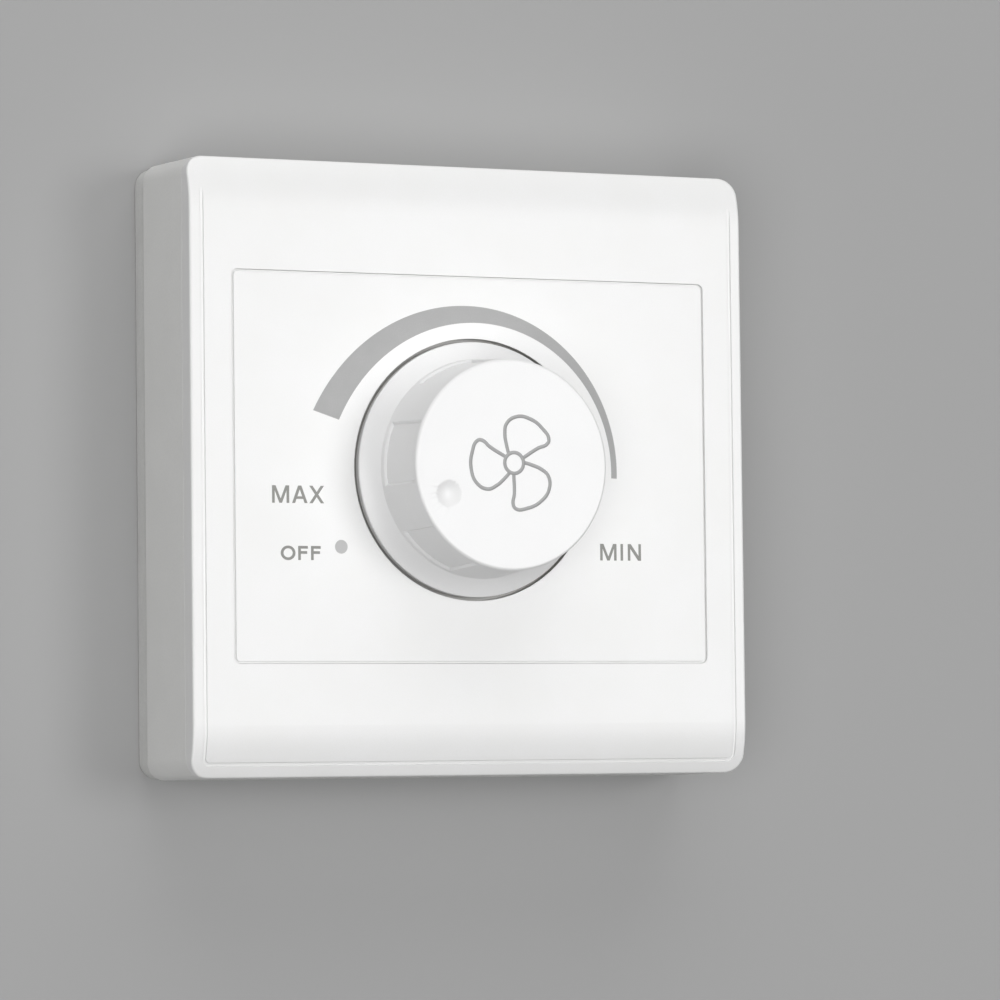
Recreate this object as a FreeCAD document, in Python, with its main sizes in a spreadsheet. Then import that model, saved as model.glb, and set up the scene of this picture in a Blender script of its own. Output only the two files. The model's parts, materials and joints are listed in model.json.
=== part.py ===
import FreeCAD, Part
import math
import os
import Sketcher

# Rotary fan speed control switch, surface mounted on a wall.
# X runs to the right, Y into the wall and Z up, in millimetres.
# The origin is the centre of the face that lies on the wall.
# A level is a distance from the wall towards the front, so a level L lies at Y = -L.

SIZES = {
    # whole unit
    "panel_width": 86.0,
    "panel_height": 86.0,
    "case_depth": 20.0,
    "corner_round": 2.6,
    "inner_round_share": 0.7,
    "moulding_gap": 0.15,
    # wall plate
    "wall_plate_depth": 3.6,
    "wall_plate_inset": 0.25,
    "wall_plate_floor": 1.8,
    "spigot_rise": 1.8,
    "spigot_wall": 1.4,
    "wall_hole_spacing": 60.3,
    "wall_hole_radius": 2.2,
    "wall_slot_length": 7.0,
    "cable_hole_width": 20.0,
    "cable_hole_height": 12.0,
    "cable_hole_aside": 19.0,
    "cable_hole_inset": 11.5,
    "cable_hole_round": 3.0,
    "cable_collar_wall": 1.2,
    "cable_collar_rise": 1.4,
    "knockout_radius": 7.0,
    "knockout_groove": 0.8,
    "knockout_depth": 1.1,
    "knockout_height": 24.0,
    # housing and the screws that hold it on the wall plate
    "case_wall": 2.0,
    "case_spread": 0.25,
    "seam_round": 0.2,
    "post_inset": 8.0,
    "post_radius": 3.6,
    "post_foot_radius": 4.2,
    "post_rib": 1.6,
    "case_screw_radius": 1.45,
    "case_screw_head": 2.7,
    "case_screw_head_rise": 1.7,
    "case_screw_length": 9.0,
    "case_screw_sink": 2.0,
    "screw_clearance": 0.25,
    "pilot_clearance": 0.05,
    "screw_slot": 0.7,
    # chassis and its screws
    "chassis_thickness": 2.0,
    "chassis_rim_wall": 1.4,
    "chassis_rim_rise": 2.2,
    "window_ledge": 2.2,
    "chassis_screw_radius": 1.3,
    "chassis_screw_head": 2.3,
    "chassis_screw_head_rise": 1.7,
    "chassis_screw_length": 7.0,
    "boss_radius": 3.8,
    "boss_rise": 6.6,
    "boss_rib": 3.0,
    "insert_radius": 2.1,
    "insert_groove": 0.3,
    "insert_length": 5.0,
    "stiffener_length": 18.0,
    "stiffener_wall": 1.2,
    "stiffener_gap": 6.5,
    # front cover
    "cover_skirt": 2.8,
    "cover_wall": 2.0,
    "cover_round": 0.35,
    "curve_height": 7.2,
    "curve_drop": 1.75,
    "groove_inset": 1.6,
    "groove_width": 0.5,
    "groove_depth": 0.22,
    "groove_round": 1.15,
    "groove_stop": 2.5,
    "reveal_gap": 0.3,
    "reveal_depth": 0.3,
    "reveal_fit": 0.03,
    "hook_wall": 1.4,
    "hook_width": 8.0,
    "hook_barb": 0.6,
    "hook_barb_rise": 1.4,
    "hook_gap": 0.2,
    "hook_inset": 5.4,
    "hook_height": 16.0,
    # centre plate
    "centre_aside": 6.5,
    "centre_height": 54.0,
    "centre_round": 0.6,
    "centre_wall": 1.8,
    "centre_depth": 4.4,
    "centre_skirt_wall": 1.4,
    "recess_radius": 18.5,
    "recess_depth": 1.0,
    "recess_floor": 1.6,
    "recess_backing_wall": 1.6,
    "clip_aside": 16.0,
    "clip_width": 7.0,
    "clip_wall": 1.2,
    "board_post_radius": 2.6,
    "board_post_aside": 24.5,
    "board_post_height": 19.5,
    "board_screw_radius": 1.05,
    "board_screw_head": 2.2,
    "board_screw_head_rise": 1.4,
    "board_screw_length": 6.0,
    # potentiometer
    "can_radius": 8.2,
    "can_depth": 5.8,
    "can_wall": 0.5,
    "bushing_radius": 3.5,
    "bushing_flange": 4.8,
    "bushing_flange_rise": 0.6,
    "bushing_spare": 1.3,
    "bushing_chamfer": 0.35,
    "shaft_radius": 3.0,
    "running_fit": 0.05,
    "seat_fit": 0.05,
    "washer_radius": 6.0,
    "washer_thickness": 0.5,
    "nut_across": 10.0,
    "nut_height": 2.2,
    "wafer_thickness": 1.2,
    "wafer_tab_width": 12.0,
    "wafer_tab_reach": 11.2,
    "wafer_hole": 2.1,
    "terminal_pitch": 5.0,
    "terminal_drop": 10.0,
    "switch_depth": 5.6,
    "switch_groove": 0.4,
    "switch_pin_pitch": 8.0,
    "shaft_collar": 3.6,
    "shaft_collar_rise": 1.2,
    "shaft_float": 0.3,
    "rotor_radius": 6.6,
    "rotor_thickness": 1.2,
    "rotor_seat": 2.5,
    "journal_radius": 1.8,
    "brush_radius": 0.8,
    "brush_orbit": 5.0,
    "brush_gap": 0.3,
    # knob
    "knob_height": 12.2,
    "knob_float": 0.5,
    "skirt_radius": 18.0,
    "skirt_edge": 1.1,
    "skirt_round": 0.5,
    "flare_rise": 2.1,
    "flare_round": 5.0,
    "grip_base_radius": 15.4,
    "grip_top_radius": 14.75,
    "cap_round": 0.4,
    "cap_thickness": 1.8,
    "knob_wall": 1.5,
    "socket_wall": 1.9,
    "socket_clear": 0.6,
    "shaft_end_gap": 0.4,
    "shaft_flat": 1.5,
    "spring_thickness": 0.3,
    "spring_width": 3.6,
    "spring_length": 4.6,
    "rib_wall": 1.0,
    "rib_rise": 4.0,
    "rib_count": 6,
    "panel_count": 6,
    "panel_arc": 32.5,
    "panel_sink": 0.35,
    "panel_low": 1.1,
    "panel_high": 1.0,
    "panel_edge": 0.25,
    "dimple_orbit": 10.5,
    "dimple_ball": 5.5,
    "dimple_depth": 0.38,
    "off_angle": 203.0,
    # circuit board and what stands on it
    "board_width": 56.0,
    "board_height": 46.0,
    "board_thickness": 1.6,
    "pin_radius": 0.4,
    "pin_clearance": 0.15,
    "pin_tail": 1.2,
    "film_width": 13.0,
    "film_thickness": 6.0,
    "film_height": 10.5,
    "film_up": 16.5,
    "film_pitch": 10.0,
    "drum_radius": 6.4,
    "drum_flange": 1.2,
    "drum_core": 3.4,
    "drum_height": 9.4,
    "drum_aside": 18.4,
    "drum_up": 7.6,
    "wire_radius": 0.42,
    "wire_rows": 8,
    "sink_width": 16.0,
    "sink_length": 19.0,
    "sink_wall": 1.4,
    "sink_wing": 8.5,
    "sink_foot": 1.0,
    "sink_aside": 18.8,
    "sink_up": 5.8,
    "triac_width": 10.0,
    "triac_length": 8.8,
    "triac_thickness": 4.4,
    "tab_length": 6.2,
    "tab_thickness": 1.3,
    "tab_hole": 1.8,
    "triac_up": 3.4,
    "triac_pitch": 2.54,
    "triac_screw_radius": 1.5,
    "triac_screw_head": 2.8,
    "triac_screw_head_rise": 1.8,
    "fuse_radius": 4.2,
    "fuse_height": 7.6,
    "fuse_aside": 20.4,
    "fuse_down": 8.6,
    "fuse_pitch": 5.0,
    "timing_width": 7.2,
    "timing_thickness": 2.6,
    "timing_height": 6.5,
    "timing_aside": 10.6,
    "timing_down": 13.4,
    "timing_pitch": 5.0,
    "resistor_radius": 1.15,
    "resistor_length": 6.3,
    "resistor_neck": 0.85,
    "resistor_aside": 3.2,
    "resistor_down": 17.0,
    "resistor_step": 3.6,
    "resistor_pitch": 10.16,
    "lead_radius": 0.3,
    "block_width": 10.2,
    "block_thickness": 8.0,
    "block_height": 10.0,
    "block_aside": 16.2,
    "block_down": 18.4,
    "block_pitch": 5.08,
    "block_well": 2.0,
    "block_well_depth": 3.4,
    "wire_hole_radius": 1.7,
    "wire_hole_rise": 3.4,
    "wire_hole_depth": 5.6,
    "clamp_screw_radius": 1.25,
    "clamp_screw_head": 1.8,
    "clamp_screw_head_rise": 1.5,
}

doc = FreeCAD.newDocument("FanSpeedSwitch")
sheet = doc.addObject("Spreadsheet::Sheet", "Sizes")
for row, (alias, number) in enumerate(SIZES.items(), start=1):
    sheet.set(f"A{row}", alias)
    sheet.set(f"B{row}", str(number))
    sheet.setAlias(f"B{row}", alias)
doc.recompute()

Z_AXIS = FreeCAD.Vector(0, 0, 1)
NODES = []


class Size:
    """A number together with the sheet expression that gives it."""

    def __init__(self, value, text):
        self.value = float(value)
        self.text = text

    @staticmethod
    def of(item):
        if isinstance(item, Size):
            return item
        return Size(item, f"({float(item)})")

    def join(self, sign, other, value):
        return Size(value, f"({self.text} {sign} {other.text})")

    def __add__(self, item):
        other = Size.of(item)
        return self.join("+", other, self.value + other.value)

    def __sub__(self, item):
        other = Size.of(item)
        return self.join("-", other, self.value - other.value)

    def __mul__(self, item):
        other = Size.of(item)
        return self.join("*", other, self.value * other.value)

    def __truediv__(self, item):
        other = Size.of(item)
        return self.join("/", other, self.value / other.value)

    def __neg__(self):
        return self * -1

    __radd__ = __add__
    __rmul__ = __mul__


class SheetSizes:
    """Gives each alias of the sheet as a Size."""

    def __getattr__(self, alias):
        return Size(SIZES[alias], f"Sizes.{alias}")


s = SheetSizes()
ZERO = Size.of(0)

# Levels that the pieces share
front = s.case_depth
seam = front - s.cover_skirt
chassis_front = front - s.centre_depth
chassis_back = chassis_front - s.chassis_thickness
cover_back = front - s.cover_wall
centre_back = front - s.centre_wall
recess_level = front - s.recess_depth
pot_seat = recess_level - s.recess_floor
can_back = pot_seat - s.can_depth
board_front = can_back - s.switch_depth
board_back = board_front - s.board_thickness
washer_top = recess_level + s.washer_thickness
nut_top = washer_top + s.nut_height
bushing_top = nut_top + s.bushing_spare
bushing_root = pot_seat - s.can_wall - s.bushing_flange_rise
wafer_front = can_back + s.wafer_thickness
cap_level = front + s.knob_height
cap_inside = cap_level - s.cap_thickness
shaft_end = cap_inside - s.shaft_end_gap
socket_mouth = bushing_top + s.socket_clear
bore_radius = s.shaft_radius + s.running_fit

# Widths and places that the pieces share
case_inner_width = s.panel_width - 2 * s.case_wall
case_inner_height = s.panel_height - 2 * s.case_wall
case_inner_round = s.corner_round * s.inner_round_share
rear_width = s.panel_width + 2 * s.case_spread
rear_height = s.panel_height + 2 * s.case_spread
inner_fit_width = case_inner_width - 2 * s.moulding_gap
inner_fit_height = case_inner_height - 2 * s.moulding_gap
inner_fit_round = case_inner_round - s.moulding_gap
post_x = s.panel_width / 2 - s.post_inset
post_z = s.panel_height / 2 - s.post_inset
cable_x = s.cable_hole_aside
cable_z = s.panel_height / 2 - s.cable_hole_inset
centre_width = s.panel_width - 2 * s.centre_aside
window_width = centre_width - 2 * s.window_ledge
window_height = s.centre_height - 2 * s.window_ledge
band_middle = (s.centre_height / 2 + inner_fit_height / 2 - s.chassis_rim_wall) / 2
hook_inner = s.panel_width / 2 - s.hook_inset
hook_outer = hook_inner + s.hook_wall
hook_top = chassis_back - s.hook_gap
hook_tip = hook_top - s.hook_barb_rise
clip_outer = window_height / 2 - s.hook_gap
clip_inner = clip_outer - s.clip_wall
CORNERS = [(1, 1), (-1, 1), (-1, -1), (1, -1)]


def bind(thing, path, size):
    thing.setExpression(path, size.text)


def new_body(label):
    body = doc.addObject("PartDesign::Body", label)
    body.Label = label
    NODES.append(body)
    return body


def sketch_on(body, name, level=ZERO, plane="XZ_Plane"):
    """Sketch on one of the body's own planes, moved along that plane's normal."""
    support = [feature for feature in body.Origin.OriginFeatures if feature.Role == plane][0]
    sketch = body.newObject("Sketcher::SketchObject", name)
    sketch.AttachmentSupport = [(support, "")]
    sketch.MapMode = "FlatFace"
    bind(sketch, "AttachmentOffset.Base.z", level)
    return sketch


def constrain(sketch, size, *items):
    number = sketch.addConstraint(Sketcher.Constraint(*items, size.value))
    bind(sketch, f"Constraints[{number}]", size)


def hold_point(sketch, edge, vertex, x, y):
    constrain(sketch, Size.of(x), "DistanceX", -1, 1, edge, vertex)
    constrain(sketch, Size.of(y), "DistanceY", -1, 1, edge, vertex)


def arc_between(start, end, radius, side):
    """Short arc from start to end; side 1 turns left and side -1 turns right."""
    chord = end - start
    rise = math.sqrt(max(radius ** 2 - (chord.Length / 2) ** 2, 0))
    left = FreeCAD.Vector(-chord.y, chord.x, 0).normalize()
    centre = (start + end) * 0.5 + left * (rise * side)
    first, last = (start, end) if side > 0 else (end, start)
    angles = [math.atan2(point.y - centre.y, point.x - centre.x) for point in (first, last)]
    return Part.ArcOfCircle(Part.Circle(centre, Z_AXIS, radius), *angles)


def outline(sketch, corners):
    """Closed outline. A corner (x, y, radius, side) bends the edge that leaves it."""
    edges = []
    for index, corner in enumerate(corners):
        following = corners[(index + 1) % len(corners)]
        start = FreeCAD.Vector(Size.of(corner[0]).value, Size.of(corner[1]).value, 0)
        end = FreeCAD.Vector(Size.of(following[0]).value, Size.of(following[1]).value, 0)
        if len(corner) == 2:
            shape = Part.LineSegment(start, end)
            ends = (1, 2)
        else:
            shape = arc_between(start, end, corner[2].value, corner[3])
            ends = (1, 2) if corner[3] > 0 else (2, 1)
        edges.append((sketch.addGeometry(shape, False), ends))
    for index, (edge, ends) in enumerate(edges):
        next_edge, next_ends = edges[(index + 1) % len(edges)]
        sketch.addConstraint(Sketcher.Constraint("Coincident", edge, ends[1], next_edge, next_ends[0]))
        hold_point(sketch, edge, ends[0], corners[index][0], corners[index][1])
        if len(corners[index]) > 2:
            constrain(sketch, corners[index][2], "Radius", edge)


def rectangle(sketch, x, y, width, height):
    x = Size.of(x)
    y = Size.of(y)
    sides = [(sign_x, sign_y) for sign_x, sign_y in ((-1, -1), (1, -1), (1, 1), (-1, 1))]
    outline(sketch, [(x + sign_x * width / 2, y + sign_y * height / 2) for sign_x, sign_y in sides])


def rounded(sketch, x, y, width, height, radius):
    """Rectangle with round corners, centred on x and y."""
    left = x - width / 2
    right = x + width / 2
    low = y - height / 2
    high = y + height / 2
    outline(sketch, [
        (left + radius, low), (right - radius, low, radius, 1),
        (right, low + radius), (right, high - radius, radius, 1),
        (right - radius, high), (left + radius, high, radius, 1),
        (left, high - radius), (left, low + radius, radius, 1),
    ])


def slot(sketch, x, y, length, radius):
    """Round-ended slot along the sketch's own x."""
    half = length / 2 - radius
    outline(sketch, [
        (x - half, y - radius), (x + half, y - radius, radius, 1), (x + length / 2, y, radius, 1),
        (x + half, y + radius), (x - half, y + radius, radius, 1), (x - length / 2, y, radius, 1),
    ])


def circle(sketch, x, y, radius):
    centre = FreeCAD.Vector(Size.of(x).value, Size.of(y).value, 0)
    edge = sketch.addGeometry(Part.Circle(centre, Z_AXIS, radius.value), False)
    hold_point(sketch, edge, 3, x, y)
    constrain(sketch, radius, "Radius", edge)


def pad(body, sketch, length, centred=False, backwards=False):
    feature = body.newObject("PartDesign::Pad", f"{sketch.Name}_pad")
    feature.Profile = sketch
    feature.SideType = "Symmetric" if centred else "One side"
    feature.Reversed = backwards
    bind(feature, "Length", length)
    return feature


def pocket(body, sketch, depth, centred=False, forwards=False):
    """Cut from the sketch towards the wall, or towards the front."""
    feature = body.newObject("PartDesign::Pocket", f"{sketch.Name}_cut")
    feature.Profile = sketch
    feature.SideType = "Symmetric" if centred else "One side"
    feature.Reversed = forwards
    bind(feature, "Length", depth)
    return feature


def turned(body, name, corners):
    """Solid of revolution about Y from corners given as (level, radius, ...)."""
    sketch = sketch_on(body, name, ZERO, "YZ_Plane")
    outline(sketch, [(-Size.of(corner[0]), *corner[1:]) for corner in corners])
    feature = body.newObject("PartDesign::Revolution", f"{name}_turn")
    feature.Profile = sketch
    feature.ReferenceAxis = (sketch, ["H_Axis"])
    feature.Angle = 360
    return feature


def round_edges(body, name, radius, wanted):
    """Fillet on the edges of the body's last feature for which wanted(edge) holds."""
    doc.recompute()
    base = body.Tip
    edges = [f"Edge{n}" for n, edge in enumerate(base.Shape.Edges, start=1) if wanted(edge)]
    feature = body.newObject("PartDesign::Fillet", name)
    feature.Base = (base, edges)
    bind(feature, "Radius", radius)
    return feature


def bevel_edges(body, name, size, wanted):
    """Chamfer on the edges of the body's last feature for which wanted(edge) holds."""
    doc.recompute()
    base = body.Tip
    edges = [f"Edge{n}" for n, edge in enumerate(base.Shape.Edges, start=1) if wanted(edge)]
    feature = body.newObject("PartDesign::Chamfer", name)
    feature.Base = (base, edges)
    bind(feature, "Size", size)
    return feature


def place(body, x, z):
    """Moves a body that is built on the Y axis to x and z."""
    bind(body, "Placement.Base.x", Size.of(x))
    bind(body, "Placement.Base.z", Size.of(z))


def turn_to_off(body):
    """Turns what rides with the knob from its drawn place to the OFF mark."""
    body.Placement = FreeCAD.Placement(FreeCAD.Vector(), FreeCAD.Rotation(FreeCAD.Vector(0, -1, 0), 90))
    bind(body, "Placement.Rotation.Angle", s.off_angle)


def disc(body, name, level, length, radius, x=0, z=0):
    sketch = sketch_on(body, name, level)
    circle(sketch, x, z, radius)
    return pad(body, sketch, length)


def block(body, name, level, length, x, z, width, height):
    sketch = sketch_on(body, name, level)
    rectangle(sketch, x, z, width, height)
    return pad(body, sketch, length)


def pan_head_screw(label, seat, sign, head_radius, head_rise, radius, length, x, z):
    """Slotted screw. Its head stands on the seat level, towards the front when sign is 1."""
    body = new_body(label)
    crown = head_radius * 0.62
    turned(body, f"{label}_profile", [
        (seat, ZERO), (seat - sign * length, ZERO), (seat - sign * length, radius * 0.55),
        (seat - sign * (length - radius), radius), (seat, radius), (seat, head_radius),
        (seat + sign * head_rise * 0.5, head_radius), (seat + sign * head_rise, crown),
        (seat + sign * head_rise, ZERO),
    ][1:])
    slot = sketch_on(body, f"{label}_slot", seat + sign * head_rise)
    rectangle(slot, ZERO, ZERO, head_radius * 2.2, s.screw_slot)
    pocket(body, slot, head_rise * 0.45, forwards=sign < 0)
    place(body, x, z)
    return body


# Wall plate: shallow tray that is screwed to the wall
def wall_plate():
    body = new_body("wall_plate")
    outer = sketch_on(body, "wall_plate_outline")
    rounded(outer, ZERO, ZERO, rear_width - 2 * s.wall_plate_inset,
            rear_height - 2 * s.wall_plate_inset, s.corner_round)
    pad(body, outer, s.wall_plate_depth)
    spigot = sketch_on(body, "wall_plate_spigot")
    rounded(spigot, ZERO, ZERO, inner_fit_width, inner_fit_height, inner_fit_round)
    pad(body, spigot, s.wall_plate_depth + s.spigot_rise)
    hollow = sketch_on(body, "wall_plate_hollow", s.wall_plate_floor)
    rounded(hollow, ZERO, ZERO, inner_fit_width - 2 * s.spigot_wall,
            inner_fit_height - 2 * s.spigot_wall, inner_fit_round - s.spigot_wall / 2)
    pocket(body, hollow, s.wall_plate_depth + s.spigot_rise - s.wall_plate_floor, forwards=True)
    feet = sketch_on(body, "wall_plate_feet", s.wall_plate_floor)
    for sign_x, sign_z in CORNERS:
        circle(feet, sign_x * post_x, sign_z * post_z, s.post_foot_radius)
    pad(body, feet, s.wall_plate_depth - s.wall_plate_floor)
    collar = sketch_on(body, "cable_collar", s.wall_plate_floor)
    rounded(collar, -cable_x, -cable_z,
            s.cable_hole_width + 2 * s.cable_collar_wall, s.cable_hole_height + 2 * s.cable_collar_wall,
            s.cable_hole_round + s.cable_collar_wall)
    pad(body, collar, s.cable_collar_rise)
    cable = sketch_on(body, "cable_hole")
    rounded(cable, -cable_x, -cable_z, s.cable_hole_width,
            s.cable_hole_height, s.cable_hole_round)
    pocket(body, cable, s.wall_plate_depth, forwards=True)
    fixing = sketch_on(body, "wall_fixing_holes")
    for sign in (-1, 1):
        slot(fixing, sign * s.wall_hole_spacing / 2, ZERO, s.wall_slot_length, s.wall_hole_radius)
    pocket(body, fixing, s.wall_plate_depth, forwards=True)
    holes = sketch_on(body, "case_screw_holes")
    sinks = sketch_on(body, "case_screw_sinks")
    for sign_x, sign_z in CORNERS:
        circle(holes, sign_x * post_x, sign_z * post_z,
               s.case_screw_radius + s.screw_clearance)
        circle(sinks, sign_x * post_x, sign_z * post_z,
               s.case_screw_head + s.screw_clearance)
    pocket(body, holes, s.wall_plate_depth, forwards=True)
    pocket(body, sinks, s.case_screw_sink, forwards=True)
    knockouts = sketch_on(body, "cable_knockouts")
    for x, z in ((cable_x, -cable_z), (ZERO, s.knockout_height)):
        circle(knockouts, x, z, s.knockout_radius)
        circle(knockouts, x, z, s.knockout_radius - s.knockout_groove)
    pocket(body, knockouts, s.knockout_depth, forwards=True)


# Housing: the deep side wall, which spreads a little towards the wall plate,
# with posts for its own screws and bosses for the chassis
def housing():
    body = new_body("housing")
    rear = sketch_on(body, "housing_rear_outline", s.wall_plate_depth)
    rounded(rear, ZERO, ZERO, rear_width, rear_height, s.corner_round)
    mouth = sketch_on(body, "housing_mouth_outline", seam)
    rounded(mouth, ZERO, ZERO, s.panel_width, s.panel_height, s.corner_round)
    walls = body.newObject("PartDesign::AdditiveLoft", "housing_walls")
    walls.Profile = rear
    walls.Sections = [mouth]
    walls.Ruled = True
    cavity = sketch_on(body, "housing_cavity", s.wall_plate_depth)
    rounded(cavity, ZERO, ZERO, case_inner_width, case_inner_height, case_inner_round)
    pocket(body, cavity, seam - s.wall_plate_depth, forwards=True)
    posts = sketch_on(body, "housing_posts", s.wall_plate_depth)
    for sign_x, sign_z in CORNERS:
        circle(posts, sign_x * post_x, sign_z * post_z, s.post_radius)
    pad(body, posts, chassis_back - s.wall_plate_depth)
    rib_level = s.wall_plate_depth + s.spigot_rise + s.moulding_gap
    reach = s.post_inset - s.case_wall / 2
    side_ribs = sketch_on(body, "housing_side_ribs", rib_level)
    end_ribs = sketch_on(body, "housing_end_ribs", rib_level)
    for sign_x, sign_z in CORNERS:
        rectangle(side_ribs, sign_x * (post_x + reach / 2), sign_z * post_z, reach, s.post_rib)
        rectangle(end_ribs, sign_x * post_x, sign_z * (post_z + reach / 2), s.post_rib, reach)
    pad(body, side_ribs, chassis_back - rib_level)
    pad(body, end_ribs, chassis_back - rib_level)
    boss_level = chassis_back - s.boss_rise
    bosses = sketch_on(body, "housing_bosses", boss_level)
    boss_ribs = sketch_on(body, "housing_boss_ribs", boss_level)
    reach = s.panel_height / 2 - s.case_wall / 2 - band_middle
    for sign in (-1, 1):
        circle(bosses, ZERO, sign * band_middle, s.boss_radius)
        rectangle(boss_ribs, ZERO, sign * (band_middle + reach / 2), s.boss_rib, reach)
    pad(body, bosses, s.boss_rise)
    pad(body, boss_ribs, s.boss_rise)
    pilots = sketch_on(body, "housing_pilots", s.wall_plate_depth)
    for sign_x, sign_z in CORNERS:
        circle(pilots, sign_x * post_x, sign_z * post_z, s.case_screw_radius + s.pilot_clearance)
    pilot_depth = s.case_screw_sink + s.case_screw_length - s.wall_plate_depth + s.screw_clearance
    pocket(body, pilots, pilot_depth, forwards=True)
    seats = sketch_on(body, "insert_seats", chassis_back)
    for sign in (-1, 1):
        circle(seats, ZERO, sign * band_middle, s.insert_radius + s.seat_fit)
    pocket(body, seats, s.insert_length)

    def on_seam(edge):
        box = edge.BoundBox
        at_front = box.YMax < 0.05 - seam.value
        reach = max(abs(box.XMin), abs(box.XMax), abs(box.ZMin), abs(box.ZMax))
        return at_front and reach > s.panel_width.value / 2 - s.case_wall.value / 2
    round_edges(body, "seam_edge_round", s.seam_round, on_seam)


# Knurled brass inserts in the bosses, one for each chassis screw
def threaded_insert(label, sign):
    body = new_body(label)
    top = chassis_back
    bottom = top - s.insert_length
    waist = s.insert_radius - s.insert_groove
    bore = s.chassis_screw_radius + s.pilot_clearance
    turned(body, f"{label}_profile", [
        (bottom, bore), (bottom, waist), (bottom + s.insert_length * 0.1, s.insert_radius),
        (bottom + s.insert_length * 0.42, s.insert_radius), (bottom + s.insert_length * 0.48, waist),
        (bottom + s.insert_length * 0.56, waist), (bottom + s.insert_length * 0.62, s.insert_radius),
        (top, s.insert_radius), (top, bore),
    ])
    place(body, ZERO, sign * band_middle)


# Chassis: flat frame in the mouth of the housing, under the cover
def chassis():
    body = new_body("chassis")
    plate = sketch_on(body, "chassis_plate", chassis_back)
    rounded(plate, ZERO, ZERO, inner_fit_width, inner_fit_height, inner_fit_round)
    rectangle(plate, ZERO, ZERO, window_width, window_height)
    pad(body, plate, s.chassis_thickness)
    rim = sketch_on(body, "chassis_rim", chassis_front)
    rounded(rim, ZERO, ZERO, inner_fit_width, inner_fit_height, inner_fit_round)
    rounded(rim, ZERO, ZERO, inner_fit_width - 2 * s.chassis_rim_wall,
            inner_fit_height - 2 * s.chassis_rim_wall, inner_fit_round - s.chassis_rim_wall / 2)
    pad(body, rim, s.chassis_rim_rise)
    stiffeners = sketch_on(body, "chassis_stiffeners", chassis_front)
    aside = s.stiffener_gap + s.stiffener_length / 2
    for sign_x, sign_z in CORNERS:
        rectangle(stiffeners, sign_x * aside, sign_z * band_middle, s.stiffener_length, s.stiffener_wall)
    pad(body, stiffeners, s.chassis_rim_rise)
    holes = sketch_on(body, "chassis_screw_holes", chassis_front)
    for sign in (-1, 1):
        circle(holes, ZERO, sign * band_middle, s.chassis_screw_radius + s.screw_clearance)
    pocket(body, holes, s.chassis_thickness)
    slots = sketch_on(body, "chassis_hook_slots", chassis_front)
    for sign_x, sign_z in CORNERS:
        rectangle(slots, sign_x * (hook_inner + s.hook_wall / 2), sign_z * s.hook_height,
                  s.hook_wall + 2 * s.hook_gap, s.hook_width + 2 * s.hook_gap)
    pocket(body, slots, s.chassis_thickness)


def snap_hook(body, name, sign_x, sign_z):
    """Tongue with a slanted barb that catches behind the chassis."""
    inner = sign_x * hook_inner
    outer = sign_x * hook_outer
    barb = sign_x * (hook_inner - s.hook_barb)
    sketch = sketch_on(body, name, sign_z * s.hook_height, "XY_Plane")
    outline(sketch, [
        (inner, -cover_back), (outer, -cover_back), (outer, -hook_tip), (inner, -hook_tip),
        (barb, -(hook_top - s.hook_barb_rise / 3)), (barb, -hook_top), (inner, -hook_top),
    ])
    pad(body, sketch, s.hook_width, centred=True)


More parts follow.
